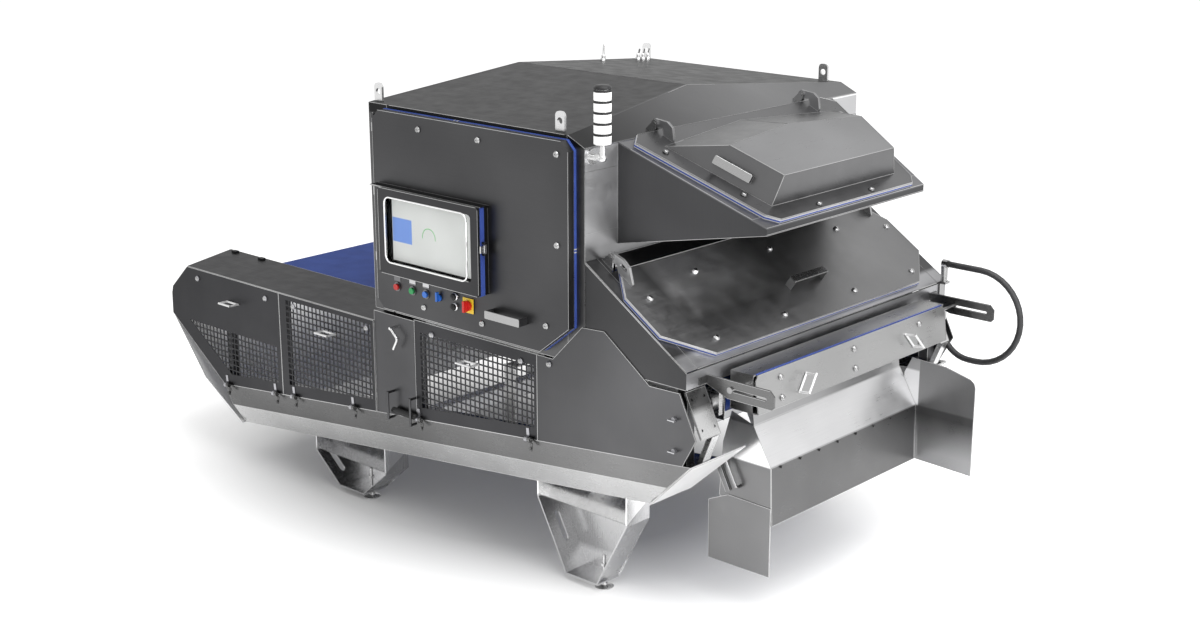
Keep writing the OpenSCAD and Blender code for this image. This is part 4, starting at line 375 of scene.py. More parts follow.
# Lower hatch: a flat stainless lid over the shoulder, brushed across, on two arms. A painted highlight makes
# its upper near part paler, and painted highlights brighten its cut edge and the fittings on it.
shoulder_turn = radians(33.3)
shoulder_way = (sin(shoulder_turn), 0, cos(shoulder_turn))
shoulder_at = cos(shoulder_turn) * 1.603 - sin(shoulder_turn) * middle_x
shoulder_top = shoulder_at + plate_top
steel_lower = brushed("steel_lower", (0.19, 0.19, 0.192), (0.26, 0.26, 0.262), 0.36, "y",
                      painted_light=[(4.0, (near_way, 0.0, 0.3), (near_way, 0.75, 0.65), (discharge_way, 1.45, 1.3)),
                             (2.2, (shoulder_way, shoulder_top - 0.0001, shoulder_top - 0.0004)),
                             (2.2, (shoulder_way, shoulder_top + 0.0001, shoulder_top + 0.0004))])
finish_node(steel_lower, "lower_hatch")

# Ejector box and its cover: pale stainless sheet brushed across, on two slotted arms. The arms are cut from
# plate, bright below, and a painted shade darkens them above.
steel_pale = brushed("steel_pale", (0.33, 0.33, 0.33), (0.41, 0.41, 0.41), 0.3, "y")
finish_node(steel_pale, "ejector_cover", "ejector_box")
steel_arm = brushed("steel_arm", (0.62, 0.62, 0.62), (0.74, 0.74, 0.74), 0.28,
                    painted_light=[(0.24, (up_way, 1.04, 1.07))])
finish_node(steel_arm, "slotted_arms")

# Chute: folded stainless sheet hung below the ejector box, brushed across. Painted light makes the sloped
# sheet bright and the upright one below it dark, the near flap paler, and the far wing paler towards its
# lower edge.
behind_fold = (discharge_way, 1.7635, 1.7595)
steel_chute = brushed("steel_chute", (0.18, 0.18, 0.182), (0.25, 0.25, 0.252), 0.32, "y",
                      painted_light=[(3.4, (up_way, 0.712, 0.722), behind_fold),
                             (0.45, (up_way, 0.884, 0.894), behind_fold),
                             (0.55, (up_way, 0.722, 0.712), (far_way, -0.583, -0.58)),
                             (4.0, (up_way, 0.68, 0.5), (far_way, 0.58, 0.59)),
                             (1.55, (near_way, 0.545, 0.548))])
finish_node(steel_chute, "chute")

# Fittings: turned and cast stainless parts, polished bright. They are feet, lifting eyes, handle,
# clasp, lamp tube, bearing units, pulleys and cable glands, screwed or pinned in place.
steel_bright = brushed("steel_bright", (0.66, 0.66, 0.66), (0.78, 0.78, 0.78), 0.26)
finish_node(steel_bright, "foot_infeed_near", "foot_infeed_far", "foot_discharge_near", "foot_discharge_far",
            "lifting_eyes", "rod_handle", "screen_clasp", "stack_light", "bearing_units", "head_pulley",
            "tail_pulley", "cable_glands")
finish_node(steel_latch, "hose_fittings")


# Seals: extruded food-grade silicone, blue between two pale lips, pressed under the hatches.
# The blue alone is used for the seals of the screen and of the ejector cover.
def lipped_seal(base, name, inner, outer, planes):
    """The seal's blue between two pale lips: pale where the distance from one of the planes
    (direction, place along it) is between inner and outer."""
    material = base.copy()
    material.name = name
    tree = material.node_tree
    bsdf, coords = tree.nodes["Principled BSDF"], tree.nodes["Texture Coordinate"]
    colour = bsdf.inputs["Base Color"].links[0].from_socket
    for direction, middle in planes:
        place = tree.nodes.new("ShaderNodeVectorMath")
        place.operation = "DOT_PRODUCT"
        tree.links.new(coords.outputs["Object"], place.inputs[0])
        place.inputs[1].default_value = direction
        off = tree.nodes.new("ShaderNodeMath")
        off.operation = "SUBTRACT"
        off.inputs[1].default_value = middle
        tree.links.new(place.outputs["Value"], off.inputs[0])
        size = tree.nodes.new("ShaderNodeMath")
        size.operation = "ABSOLUTE"
        tree.links.new(off.outputs["Value"], size.inputs[0])
        lip = tree.nodes.new("ShaderNodeMath")
        lip.operation = "MULTIPLY"
        tree.links.new(spread(tree, size.outputs["Value"], 0, 1, inner - 0.0003, inner), lip.inputs[0])
        tree.links.new(spread(tree, size.outputs["Value"], 1, 0, outer, outer + 0.0003), lip.inputs[1])
        pale = tree.nodes.new("ShaderNodeMix")
        pale.data_type = "RGBA"
        tree.links.new(lip.outputs["Value"], pale.inputs["Factor"])
        tree.links.new(colour, pale.inputs["A"])
        pale.inputs["B"].default_value = (0.42, 0.42, 0.43, 1.0)
        colour = pale.outputs["Result"]
    tree.links.new(colour, bsdf.inputs["Base Color"])
    return material


seal_blue = matte("seal_blue", (0.032, 0.058, 0.25), (0.045, 0.085, 0.32), 0.5, 180.0, sheen=0.25)
plate_thick, seal_gap, half_seal = 0.006, 0.0003, 0.007
seal_mid = plate_top - plate_thick - seal_gap - half_seal
seal_lips = lipped_seal(seal_blue, "seal_lips", 0.0036, 0.0078,
                        [(optic_way, optic_at + seal_mid), (shoulder_way, shoulder_at + seal_mid)])
finish_node(seal_lips, "housing_seals")

# Belt: a closed loop of coated fabric, food-grade blue, with a fine woven grain. It runs over the
# bed and round both pulleys.
belt_blue = matte("belt_blue", (0.012, 0.034, 0.17), (0.02, 0.048, 0.21), 0.55, 320.0, sheen=0.08)
finish_node(belt_blue, "belt")

# Moulded parts: black valve manifold, camera units and screen panel, and white light bars and
# backplate, all screwed to their holders. The grey gear motor is cast and painted.
black_plastic = matte("black_plastic", (0.008, 0.008, 0.008), (0.02, 0.02, 0.021), 0.45, sheen=0.3)
white_plastic = matte("white_plastic", (0.72, 0.72, 0.71), (0.82, 0.82, 0.81), 0.35)
motor_paint = matte("motor_paint", (0.2, 0.23, 0.26), (0.26, 0.29, 0.32), 0.4)
finish_node(black_plastic, "ejector_manifold", "camera_units", "screen_panel")
finish_node(white_plastic, "light_bars", "control_backplate")
finish_node(motor_paint, "drive_motor")

# Buttons and knobs: moulded caps in red, green and blue on the operator panel, each with a
# smooth, slightly glossy face.
red_cap = matte("red_cap", (0.5, 0.012, 0.01), (0.62, 0.02, 0.015), 0.3)
green_cap = matte("green_cap", (0.01, 0.28, 0.07), (0.02, 0.36, 0.1), 0.3)
blue_cap = matte("blue_cap", (0.02, 0.12, 0.5), (0.03, 0.17, 0.62), 0.3)
finish_node(red_cap, "red_button", "isolator_knob")
finish_node(green_cap, "green_button")
finish_node(blue_cap, "blue_button", "selector_lever")

# Clear panes: the polycarbonate window of the screen and the scan window over the belt, held in
# their frames. Thin enough to bend the light very little.
clear, tree, bsdf, coords = shader("clear_pane")
bsdf.inputs["Base Color"].default_value = (0.98, 0.985, 0.98, 1.0)
bsdf.inputs["Transmission Weight"].default_value = 1.0
bsdf.inputs["IOR"].default_value = 1.06
tree.links.new(spread(tree, noise(tree, coords, (1, 1, 1), 30.0), 0.0, 0.015), bsdf.inputs["Roughness"])
finish_node(clear, "screen_pane", "scan_window")


# Screen picture: a lit display behind the pane, pale grey with a blue field and two ring gauges,
# set back in a black frame. The places below are millimetres from the machine's own origin.
def at(x, y, z):
    """Points given in millimetres from the machine's own origin, in the row frame in metres."""
    return np.stack(np.broadcast_arrays(x / 1000 - middle_x, y / 1000 - middle_y, z / 1000), axis=-1)


def slab(name, outline, depth, smooth=False):
    """A flat plate: the outline's points, and the same points moved by the depth vector."""
    outline = np.asarray(outline, float)
    n = len(outline)
    k = np.arange(n)
    rim = np.stack([k, (k + 1) % n, (k + 1) % n + n, k + n], axis=1).tolist()
    return piece(name, np.concatenate([outline, outline + depth]),
                 [k[::-1].tolist(), (k + n).tolist()] + rim, smooth)


def dress(obj, body, material):
    """The piece takes its material and the body that it rides on."""
    obj.data.materials.append(material)
    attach(obj, body)
    return obj


def lit(name, dark, light, glow):
    """A self-lit surface: two close colours by a noise, with some emission in the same colour."""
    material, tree, bsdf, coords = shader(name)
    colour = shade_between(tree, spread(tree, noise(tree, coords, (1, 1, 1), 4.0), 0, 1), dark, light)
    tree.links.new(colour, bsdf.inputs["Base Color"])
    tree.links.new(colour, bsdf.inputs["Emission Color"])
    bsdf.inputs["Emission Strength"].default_value = glow
    bsdf.inputs["Roughness"].default_value = 0.5
    return material


def front_rect(name, x0, x1, z0, z1, y, depth=1.0):
    """An upright plate facing the operator, from x0 to x1 and z0 to z1, depth thick."""
    return slab(name, [at(x0, y, z0), at(x1, y, z0), at(x1, y, z1), at(x0, y, z1)], (0, depth / 1000, 0))


def front_ring(name, x, z, inner, outer, start, stop, y, steps=41):
    """A flat ring sector facing the operator: two arcs of equal angles, each the centre plus
    radius times (cosine, sine)."""
    turn = np.radians(np.linspace(start, stop, steps))
    arcs = [at(x + r * np.cos(turn), y, z + r * np.sin(turn)) for r in (inner, outer)]
    k = np.arange(steps - 1)
    faces = np.stack([k, k + 1, k + 1 + steps, k + steps], axis=1)
    return piece(name, np.concatenate(arcs), faces.tolist(), False)


picture_y = -1084.6
mark_y = picture_y - 0.6
lit_grey = lit("lit_grey", (0.52, 0.53, 0.52), (0.58, 0.59, 0.58), 0.22)
lit_blue = lit("lit_blue", (0.12, 0.22, 0.54), (0.15, 0.26, 0.6), 0.3)
lit_green = lit("lit_green", (0.12, 0.42, 0.14), (0.16, 0.5, 0.18), 0.15)
lit_faint = lit("lit_faint", (0.5, 0.51, 0.5), (0.55, 0.56, 0.55), 0.2)
picture = front_rect("screen_picture", -1146, -614, 1431, 1729, picture_y)
dress(picture, "door", lit_grey)
blue_field = front_rect("screen_blue_field", -1143, -1012, 1523, 1638, mark_y, 0.5)
dress(blue_field, "door", lit_blue)
green_gauge = front_ring("screen_gauge_green", -895, 1574, 41, 45, -10, 190, mark_y)
dress(green_gauge, "door", lit_green)
grey_gauge = front_ring("screen_gauge_grey", -719, 1572, 41, 44, -20, 200, mark_y)
dress(grey_gauge, "door", lit_faint)
for k, (x, z, width) in enumerate([(-895, 1590, 26), (-895, 1572, 34), (-719, 1588, 24), (-719, 1570, 30),
                                   (-1116, 1440, 20)]):
    bar = front_rect("screen_bar_%d" % k, x - width / 2, x + width / 2, z, z + 3.5, mark_y, 0.5)
    dress(bar, "door", lit_faint)


# Window bead and screen gasket: a polished stainless bead round the pane, and the blue silicone
# seal between the hinged front and its box, which shows as a broad band on the box's sides.
def rounded_frame(x0, x1, z0, z1, r, y, steps=9):
    """A closed upright path: four quarter circles joined by straight runs, each the corner's
    centre plus r times (cosine, sine) of an even run of angles."""
    turn = np.radians(np.linspace([0, 90, 180, 270], [90, 180, 270, 360], steps, axis=1)).reshape(-1)
    x = np.repeat([x1 - r, x0 + r, x0 + r, x1 - r], steps) + r * np.cos(turn)
    z = np.repeat([z1 - r, z1 - r, z0 + r, z0 + r], steps) + r * np.sin(turn)
    path = at(x, y, z)
    return np.concatenate([path, path[:1]])


def frame_band(name, inner, outer, depth):
    """A band between two closed paths of equal length, moved back by the depth vector."""
    n = len(inner)
    verts = np.concatenate([inner, outer, outer + depth, inner + depth])
    k = np.arange(n - 1)
    faces = [np.stack([k + a * n, k + 1 + a * n, k + 1 + b * n, k + b * n], axis=1)
             for a, b in ((0, 1), (1, 2), (2, 3), (3, 0))]
    return piece(name, verts, np.concatenate(faces).tolist(), False)


chrome = brushed("chrome", (0.8, 0.8, 0.8), (0.9, 0.9, 0.9), 0.14, streak=0.03)
bead = tube("screen_bead", rounded_frame(-1165, -614, 1423, 1735, 34, -1115), 0.0045, 12)
dress(bead, "screen front", chrome)
door_x, door_z, gasket_y = -1307, 1164, -1101
box_x0, box_x1 = door_x + 97, door_x + 97 + 668
box_z0, box_z1 = door_z + 201, door_z + 201 + 408
band = frame_band("screen_gasket",
                  rounded_frame(box_x0 - 0.4, box_x1 + 0.4, box_z0 - 0.4, box_z1 + 0.4, 8, gasket_y),
                  rounded_frame(box_x0 - 2.2, box_x1 + 2.2, box_z0 - 2.2, box_z1 + 2.2, 9, gasket_y),
                  (0, 0.026, 0))
dress(band, "door", seal_blue)

# Button labels and isolator plate: enamelled white tags over two of the push buttons, and the
# yellow square round the red isolator, snapped on the operator panel.
label_white = matte("label_white", (0.7, 0.7, 0.7), (0.78, 0.78, 0.78), 0.4)
isolator_yellow = matte("isolator_yellow", (0.75, 0.5, 0.02), (0.85, 0.6, 0.03), 0.35)
panel_y = -1050
row_z = door_z + 125
for colour, x in (("green", -1055), ("blue", -962)):
    tag = front_rect("label_" + colour, x - 21, x + 21, row_z + 33.5, row_z + 58, panel_y - 2.6, 0.6)
    dress(tag, "door", label_white)
half, hole, isolator_x = 35, 18, -676
for k, (x0, x1, z0, z1) in enumerate([(-half, half, hole, half), (-half, half, -half, -hole),
                                      (-half, -hole, -hole, hole), (hole, half, -hole, hole)]):
    strip = front_rect("isolator_plate_%d" % k, isolator_x + x0, isolator_x + x1, row_z + z0, row_z + z1,
                       panel_y - 4.2, 0.8)
    dress(strip, "door", isolator_yellow)


# Port caps: two black moulded screw caps on the operator panel, each in a polished ring.
# They are turned shapes with a rounded rim, screwed over the service ports.
def turned(name, foot, axis, profile, sides=32):
    """A turned part: each (height, radius) of the profile makes a ring round the axis."""
    axis = np.asarray(axis, float) / np.linalg.norm(axis)
    helper = np.array([0.0, 0.0, 1.0]) if abs(axis[2]) < 0.9 else np.array([1.0, 0.0, 0.0])
    side = np.cross(axis, helper)
    side /= np.linalg.norm(side)
    up = np.cross(axis, side)
    turn = np.linspace(0, 2 * pi, sides, endpoint=False)
    ring = np.cos(turn)[:, None] * side + np.sin(turn)[:, None] * up
    profile = np.asarray(profile, float)
    verts = np.asarray(foot, float) + profile[:, 0, None, None] * axis + profile[:, 1, None, None] * ring
    i, j = np.meshgrid(np.arange(len(profile) - 1), np.arange(sides), indexing="ij")
    a = i * sides + j
    b = i * sides + (j + 1) % sides
    quads = np.stack([a, b, b + sides, a + sides], axis=-1).reshape(-1, 4).tolist()
    ends = [np.arange(sides)[::-1].tolist(), ((len(profile) - 1) * sides + np.arange(sides)).tolist()]
    return piece(name, verts.reshape(-1, 3), quads + ends)


for k, (x, z) in enumerate([(-766, row_z + 26), (-768, row_z - 23)]):
    cap = turned("port_cap_%d" % k, at(x, panel_y - 7.6, z), (0, -1, 0),
                 [(0, 0.016), (0.008, 0.016), (0.012, 0.013), (0.013, 0.0)])
    dress(cap, "door", black_plastic)
    ring = turned("port_ring_%d" % k, at(x, panel_y - 0.4, z), (0, -1, 0),
                  [(0, 0.0195), (0.004, 0.0195), (0.006, 0.017), (0.007, 0.0162)])
    dress(ring, "door", chrome)

# Stack light lenses: five white acrylic lenses between black moulded rings, with a black lid, stacked on the
# lamp tube. Their faint white glow is painted light.
lens_white = lit("lens_white", (0.85, 0.85, 0.84), (0.9, 0.9, 0.89), 0.25)
lamp_x, lamp_y, lamp_z, lens_pitch, lenses = 65, -960, 2112, 46, 5
for k in range(lenses):
    foot = at(lamp_x, lamp_y, lamp_z + lens_pitch * k + 5)
    lens = turned("lens_%d" % k, foot, (0, 0, 1),
                  [(0, 0.0372), (0.0005, 0.0378), (0.0345, 0.0378), (0.035, 0.0372)])
    dress(lens, "machine", lens_white)
    ring = turned("lamp_ring_%d" % k, foot + np.array([0, 0, 0.0352]), (0, 0, 1),
                  [(0, 0.0342), (0.0004, 0.0384), (0.0102, 0.0384), (0.0106, 0.0342)])
    dress(ring, "machine", black_plastic)
lid = turned("lamp_lid", at(lamp_x, lamp_y, lamp_z + lens_pitch * lenses + 5), (0, 0, 1),
             [(0, 0.0374), (0.0006, 0.038), (0.008, 0.038), (0.0165, 0.029), (0.0185, 0.0)])
dress(lid, "machine", black_plastic)

# Roller tube: a black plastic tube that hangs in the two wire loops under the wide post, where it
# turns freely.
roller_path = at(np.array([-1262, -1240, -1180, -1120, -1095]), -1017.5, 640)
dress(tube("loop_tube", roller_path, 0.0155, 20), "machine", black_plastic)

# Ejector cover seal: two thin blue silicone lips between the cover plate and its box, seen from
# above and from the operator's side.
lean = atan2(23.0, 169.0)
cover_way = np.array([cos(lean), 0, sin(lean)])
cover_height = 0.169 / cos(lean) - 0.002
cover_x, cover_z = 747 - 23 - 2, 1186
for k, out in enumerate((-3.0, -11.0)):
    lip_path = at(cover_x, np.array([-722, -700, 0, 700, 722]), cover_z - 1) + cover_way * out / 1000
    dress(tube("cover_lip_%d" % k, lip_path, 0.0028, 10), "ejector cover", seal_blue)


# Bright edges: painted highlights, thin pale rods laid along every sharp sheared, folded or welded edge of
# the stainless sheet, so that each stands out as a fine pale line against the duller faces.
def welded_mesh(name):
    """The CAD node's points, merged where they meet to 0.01 mm, and its triangles."""
    mesh = frame["nodes"][name].data
    mesh.calc_loop_triangles()
    co = np.empty(len(mesh.vertices) * 3)
    mesh.vertices.foreach_get("co", co)
    tri = np.empty(len(mesh.loop_triangles) * 3, dtype=np.int32)
    mesh.loop_triangles.foreach_get("vertices", tri)
    grid = np.round(co.reshape(-1, 3) * 1e5).astype(np.int64)
    keys, inverse = np.unique(grid, axis=0, return_inverse=True)
    tri = inverse.reshape(-1)[tri].reshape(-1, 3)
    good = (tri[:, 0] != tri[:, 1]) & (tri[:, 1] != tri[:, 2]) & (tri[:, 0] != tri[:, 2])
    return keys / 1e5, tri[good]


def sharp_edges(co, tri, shortest, sharpest=0.88, parallel=0.999, gap=0.00045, step=0.00005):
    """Edges between two triangles whose normals differ, at least as long as shortest, without
    those that run beside a twin of the next plate, within the gap, in the same plane, within
    the step. Sharpest and parallel are cosines."""
    normal = np.cross(co[tri[:, 1]] - co[tri[:, 0]], co[tri[:, 2]] - co[tri[:, 0]])
    size = np.linalg.norm(normal, axis=1)
    tri, normal = tri[size > 1e-12], normal[size > 1e-12] / size[size > 1e-12, None]
    pairs = np.sort(np.concatenate([tri[:, [0, 1]], tri[:, [1, 2]], tri[:, [2, 0]]]), axis=1)
    owner = np.tile(np.arange(len(tri)), 3)
    order = np.lexsort((pairs[:, 1], pairs[:, 0]))
    pairs, owner = pairs[order], owner[order]
    first = np.flatnonzero((pairs[1:] == pairs[:-1]).all(axis=1))
    ends = co[pairs[first]]
    n1, n2 = normal[owner[first]], normal[owner[first + 1]]
    run = ends[:, 1] - ends[:, 0]
    length = np.linalg.norm(run, axis=1)
    keep = ((n1 * n2).sum(axis=1) < sharpest) & (length > shortest)
    ends, n1, n2, run, length = ends[keep], n1[keep], n2[keep], run[keep], length[keep]
    run /= length[:, None]
    off = ends.mean(axis=1)[:, None] - ends[None, :, 0]
    along = (off * run).sum(axis=2)
    apart = np.linalg.norm(off - along[..., None] * run, axis=2)
    beside = (apart < gap) & (along > 0) & (along < length) & (np.abs(run @ run.T) > parallel)
    np.fill_diagonal(beside, False)
    flush = np.zeros(len(ends), dtype=bool)
    for face in (n1, n2):
        level = np.abs((off * face[:, None]).sum(axis=2)) < step
        facing = (face @ n1.T > parallel) | (face @ n2.T > parallel)
        flush |= (beside & level & facing).any(axis=1)
    return ends[~flush]


def rods(name, ends, radius, sides):
    """A straight rod along each pair of ends: at each end a ring of radius times (cosine of the
    angle on the side vector plus sine of the angle on the up vector), with flat end faces."""
    run = ends[:, 1] - ends[:, 0]
    run /= np.linalg.norm(run, axis=1, keepdims=True)
    helper = np.where(np.abs(run[:, 2:]) < 0.8, np.array([[0.0, 0.0, 1.0]]), np.array([[1.0, 0.0, 0.0]]))
    side = np.cross(run, helper)
    side /= np.linalg.norm(side, axis=1, keepdims=True)
    up = np.cross(side, run)
    turn = ((np.arange(sides) + 0.5) * 2 * pi / sides)[None, :, None]
    ring = radius * (np.cos(turn) * side[:, None] + np.sin(turn) * up[:, None])
    verts = (ends[:, :, None] + ring[:, None]).reshape(-1, 3)
    k = np.arange(sides)
    wall = np.stack([k, (k + 1) % sides, (k + 1) % sides + sides, k + sides], axis=1)
    start = np.arange(len(ends))[:, None, None] * 2 * sides
    faces = (start + wall).reshape(-1, 4).tolist()
    faces += (start[:, 0] + k[::-1]).tolist() + (start[:, 0] + k + sides).tolist()
    return piece(name, verts, faces, False)


# Pale steel for the painted edge highlights.
painted_edge_highlight = brushed("painted_edge_highlight", (0.36, 0.36, 0.36), (0.6, 0.6, 0.6), 0.3, streak=0.2)
body_of_node = {n: b for b, nodes in frame["record"]["behaviour"]["bodies"].items() for n in nodes}
guards = ["guard_infeed_near", "guard_middle_near", "guard_under_near",
          "guard_infeed_far", "guard_middle_far", "guard_under_far"]
side_covers = ["side_cover_near", "side_cover_far"]
edged = ["cabinet_shell", "optics_shell", "shoulder_shell", "side_rails", "infeed_top_covers",
         "support_posts", "cabinet_door", "screen_box", "screen_door", "upper_hatch", "lower_hatch",
         *guards, *side_covers, "ejector_box", "ejector_cover", "chute", "slotted_arms", "cross_members"]
shortest_edge, shortest_on_hatch, edge_radius = 0.1, 0.03, 0.0014
for name in edged:
    ends = sharp_edges(*welded_mesh(name), shortest_on_hatch if "hatch" in name else shortest_edge)
    if len(ends):
        line = rods("highlight_rods_" + name, ends, edge_radius, 4)
        dress(line, body_of_node[name], painted_edge_highlight)


# Wire handles: round bright stainless wire bent to a loop, welded to the guards and to the
# ejector cover, 100 mm wide and 62 mm deep.
def wire_loop(name, foot, across, out, body):
    """Four rods round a rectangle: two legs, the grip, and the foot wire along the sheet."""
    foot, across, out = (np.asarray(v, float) for v in (foot, across, out))
    half_width, reach = grip_l / 2 - grip_r, grip_out - grip_r
    a, b = foot - across * half_width, foot + across * half_width
    lip = across * grip_r
    low, high = out * grip_r, out * reach
    ends = np.array([[a + low, a + high], [b + low, b + high],
                     [a + high - lip, b + high + lip], [a + low - lip, b + low + lip]])
    return dress(rods(name, ends, grip_r + 0.0006, 16), body, steel_wire)


steel_wire = brushed("steel_wire", (0.6, 0.6, 0.6), (0.75, 0.75, 0.75), 0.3, metallic=0.55)
grip_l, grip_out, grip_r = 0.1, 0.062, 0.005
guard_face = 1003.3
for part, x, z in (("guard_infeed", -2550, 934), ("guard_middle", -1748, 933), ("guard_under", -713.5, 998)):
    for side, sign in (("near", -1), ("far", 1)):
        name = part + "_" + side
        wire_loop("grip_" + name, at(x, sign * guard_face, z), (1, 0, 0), (0, sign, 0), body_of_node[name])
down = np.array([sin(lean), 0, -cos(lean)])
grip_middle = at(cover_x, 0, cover_z - 4) + down * 0.6 * cover_height + cover_way * 0.0053
for k, sign in enumerate((-1, 1)):
    turn = radians(sign * 40)
    foot = grip_middle + np.array([0, sign * 0.42, 0])
    wire_loop("grip_cover_%d" % k, foot, down * cos(turn) + np.array([0, sin(turn), 0]), cover_way,
              "ejector cover")


# Latch faces: the polished round heads of the quarter-turn latches and screws, turned stainless,
# one domed disc on each, pressed to its outer face.
def loose_parts(name):
    """The points of each part of the node that touches no other: every point takes the lowest
    label of its triangles until nothing changes."""
    co, tri = welded_mesh(name)
    label = np.arange(len(co))
    for _ in range(200):
        low = label[tri].min(axis=1)
        new = label.copy()
        for k in range(3):
            np.minimum.at(new, tri[:, k], low)
        if (new == label).all():
            break
        label = new
    return [co[label == part] for part in np.unique(label)]


def round_heads(name, largest=0.045):
    """Centre, outward axis and radius of each small loose part that is round about one axis: the
    axis is the direction of least spread of its points."""
    heads = []
    for points in loose_parts(name):
        if not 20 < len(points) < 600 or (points.max(0) - points.min(0)).max() > largest:
            continue
        centre = points.mean(axis=0)
        value, vector = np.linalg.eigh(np.cov((points - centre).T))
        if value[1] < 0.75 * value[2] or value[0] > 0.5 * value[1]:
            continue
        axis = vector[:, 0]
        if axis @ (centre - np.array([0.0, 0.0, 1.0])) < 0:
            axis = -axis
        height = (points - centre) @ axis
        flat = points - centre - height[:, None] * axis
        heads.append((centre + axis * height.max(), axis, np.linalg.norm(flat, axis=1).max()))
    return heads


for name in ("upper_hatch", "lower_hatch", *guards, *side_covers, "ejector_cover", "chute"):
    for k, (top, axis, radius) in enumerate(round_heads(name)):
        dome = [(0, 0.72 * radius), (0.0012, 0.7 * radius), (0.0024, 0.45 * radius), (0.0028, 0.0)]
        disc = turned("latch_%s_%d" % (name, k), top + axis * 0.0002, axis, dome, 20)
        dress(disc, body_of_node[name], steel_latch)


# Grip plates: the flat grips of the strip handles on the door and the hatches, brushed stainless
# strip with rounded corners and edges, welded to their two stems.
def grip_plate(name, points, body, margin=0.002, corner=0.0068, steps=7):
    """Rings of a rounded rectangle round the strip: each ring is set in by its own amount at its
    own height, and every corner is a quarter circle about the same centre."""
    centre = points.mean(axis=0)
    axes = np.linalg.svd(points - centre)[2]
    half_size = np.ptp((points - centre) @ axes.T, axis=0) / 2 + margin
    if axes[2] @ (centre - np.array([0.0, 0.0, 1.0])) < 0:
        axes[2] = -axes[2]
    turn = np.radians(np.linspace([0, 90, 180, 270], [90, 180, 270, 360], steps, axis=1)).reshape(-1)
    corners = np.array([[1, 1], [-1, 1], [-1, -1], [1, -1]])
    mid = np.repeat(corners, steps, axis=0) * (half_size[:2] - corner)
    thick = half_size[2] - margin
    rings = [(0.0, -thick - 0.0006), (0.0, thick + 0.0004), (0.0007, thick + 0.001), (0.0018, thick + 0.0013)]
    flip = 1.0 if np.cross(axes[0], axes[1]) @ axes[2] > 0 else -1.0
    verts = []
    for inset, height in rings:
        flat = mid + (corner - inset) * np.stack([np.cos(turn), np.sin(turn)], axis=1)
        verts.append(centre + flat[:, :1] * axes[0] + flip * flat[:, 1:] * axes[1] + height * axes[2])
    n = len(turn)
    k = np.arange(n)
    faces = [list(range(n))[::-1], list(range(3 * n, 4 * n))]
    for j in range(3):
        faces += (j * n + np.stack([k, (k + 1) % n, (k + 1) % n + n, k + n], axis=1)).tolist()
    return dress(piece(name, np.concatenate(verts), faces, False), body, steel_latch)


strip_length, strip_width = (0.17, 0.26), (0.03, 0.04)
for name in ("cabinet_door", "upper_hatch", "lower_hatch"):
    for points in loose_parts(name):
        off = points - points.mean(axis=0)
        extent = np.sort(np.ptp(off @ np.linalg.svd(off)[2].T, axis=0))
        right_length = strip_length[0] < extent[2] < strip_length[1]
        right_width = strip_width[0] < extent[1] < strip_width[1]
        if len(points) == 8 and right_length and right_width:
            grip_plate("grip_" + name, points, body_of_node[name])

# Floor: a wide sheet of pale paper that keeps the machine's shadow. An oval round the machine is a painted
# shadow, darker in colour and with less glow, and the paper beyond it glows white.
floor = piece("floor", [(-40, -40, 0), (40, -40, 0), (40, 40, 0), (-40, 40, 0)], [(0, 1, 2, 3)])
material, tree, bsdf, coords = shader("floor_paper")
squeezed = tree.nodes.new("ShaderNodeMapping")
squeezed.inputs["Location"].default_value = (0.31, 0.0, 0.0)
squeezed.inputs["Scale"].default_value = (0.62, 0.85, 1.0)
tree.links.new(coords.outputs["Object"], squeezed.inputs["Vector"])
distance = tree.nodes.new("ShaderNodeVectorMath")
distance.operation = "LENGTH"
tree.links.new(squeezed.outputs["Vector"], distance.inputs[0])
spot = distance.outputs["Value"]
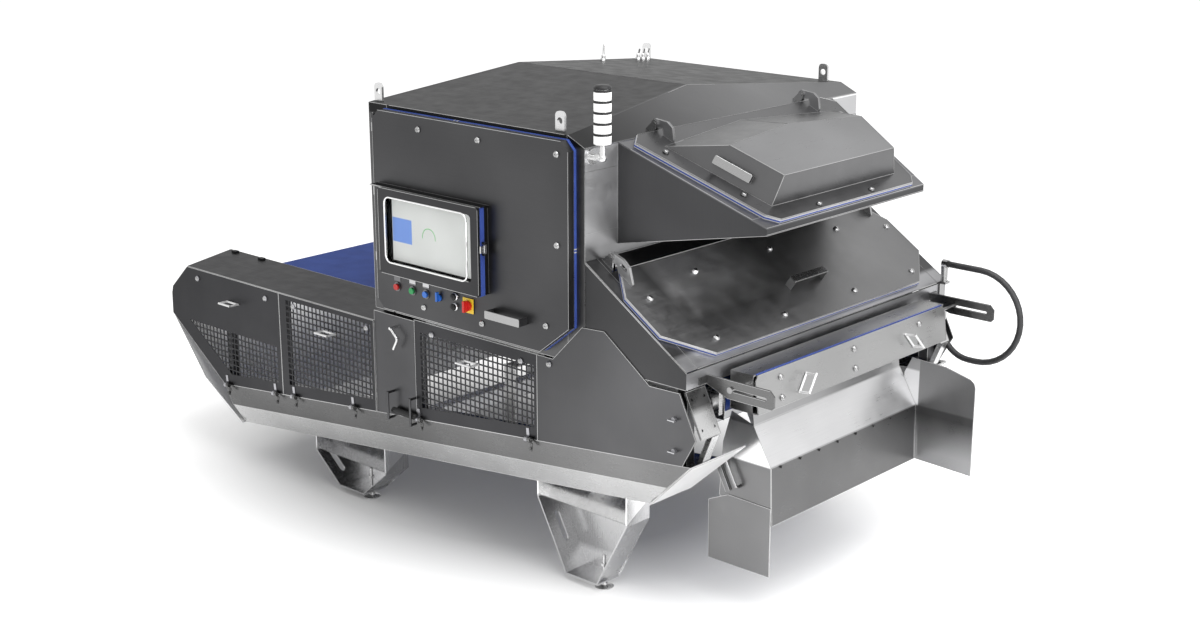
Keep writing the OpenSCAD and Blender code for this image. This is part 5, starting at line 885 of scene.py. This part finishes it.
# The painted shadow: inside this oval the paper's colour and glow are turned down.
painted_shadow_in, painted_shadow_out = 0.8, 1.5
patches = spread(tree, noise(tree, coords, (1, 1, 1), 0.4), -0.03, 0.03)
pale = tree.nodes.new("ShaderNodeMath")
pale.operation = "ADD"
tree.links.new(spread(tree, spot, 0.0, 0.97, painted_shadow_in, painted_shadow_out), pale.inputs[0])
tree.links.new(patches, pale.inputs[1])
tree.links.new(shade_between(tree, pale.outputs["Value"], (0.6, 0.6, 0.6), (0.95, 0.95, 0.95)),
               bsdf.inputs["Base Color"])
bsdf.inputs["Roughness"].default_value = 0.9
bsdf.inputs["Emission Color"].default_value = (1.0, 1.0, 1.0, 1.0)
tree.links.new(spread(tree, spot, 0.05, 0.4, painted_shadow_in, painted_shadow_out), bsdf.inputs["Emission Strength"])
floor.data.materials.append(material)


# Lamps: one large soft lamp over the discharge side and a weaker one in front of the discharge,
# as in a product studio.
def soft_lamp(name, place, aim, size, power):
    """An area lamp at a place, turned so that its face points at the aim."""
    data = bpy.data.lights.new(name, "AREA")
    data.shape = "RECTANGLE"
    data.size, data.size_y = size
    data.energy = power
    lamp = bpy.data.objects.new(name, data)
    lamp.location = place
    away = np.array(place, float) - np.array(aim, float)
    lamp.rotation_euler = (atan2(np.hypot(away[0], away[1]), away[2]), 0.0, atan2(away[1], away[0]) + pi / 2)
    bpy.context.scene.collection.objects.link(lamp)
    return lamp


soft_lamp("lamp_over", (3.0, -1.0, 7.0), (0, 0, 1.0), (6.0, 6.0), 420.0)
soft_lamp("lamp_discharge", (7.0, -1.0, 3.0), (0.5, 0, 1.0), (4.0, 3.0), 160.0)

# Studio walls: a plain white surround. It is seen, mirrored and seen through glass at full
# strength, and it lights the machine at seven tenths.
world = bpy.data.worlds.new("studio")
world.use_nodes = True
bpy.context.scene.world = world
sky = world.node_tree
background = sky.nodes["Background"]
background.inputs["Color"].default_value = (1.0, 1.0, 1.0, 1.0)
paths = sky.nodes.new("ShaderNodeLightPath")
glass = sky.nodes.new("ShaderNodeMath")
glass.operation = "MAXIMUM"
sky.links.new(paths.outputs["Is Transmission Ray"], glass.inputs[0])
sky.links.new(paths.outputs["Is Glossy Ray"], glass.inputs[1])
seen = sky.nodes.new("ShaderNodeMath")
seen.operation = "MAXIMUM"
sky.links.new(paths.outputs["Is Camera Ray"], seen.inputs[0])
sky.links.new(glass.outputs["Value"], seen.inputs[1])
level = sky.nodes.new("ShaderNodeMapRange")
level.inputs["To Min"].default_value = 0.7
level.inputs["To Max"].default_value = 1.0
sky.links.new(seen.outputs["Value"], level.inputs["Value"])
sky.links.new(level.outputs["Result"], background.inputs["Strength"])
bpy.context.scene.view_settings.view_transform = "Standard"
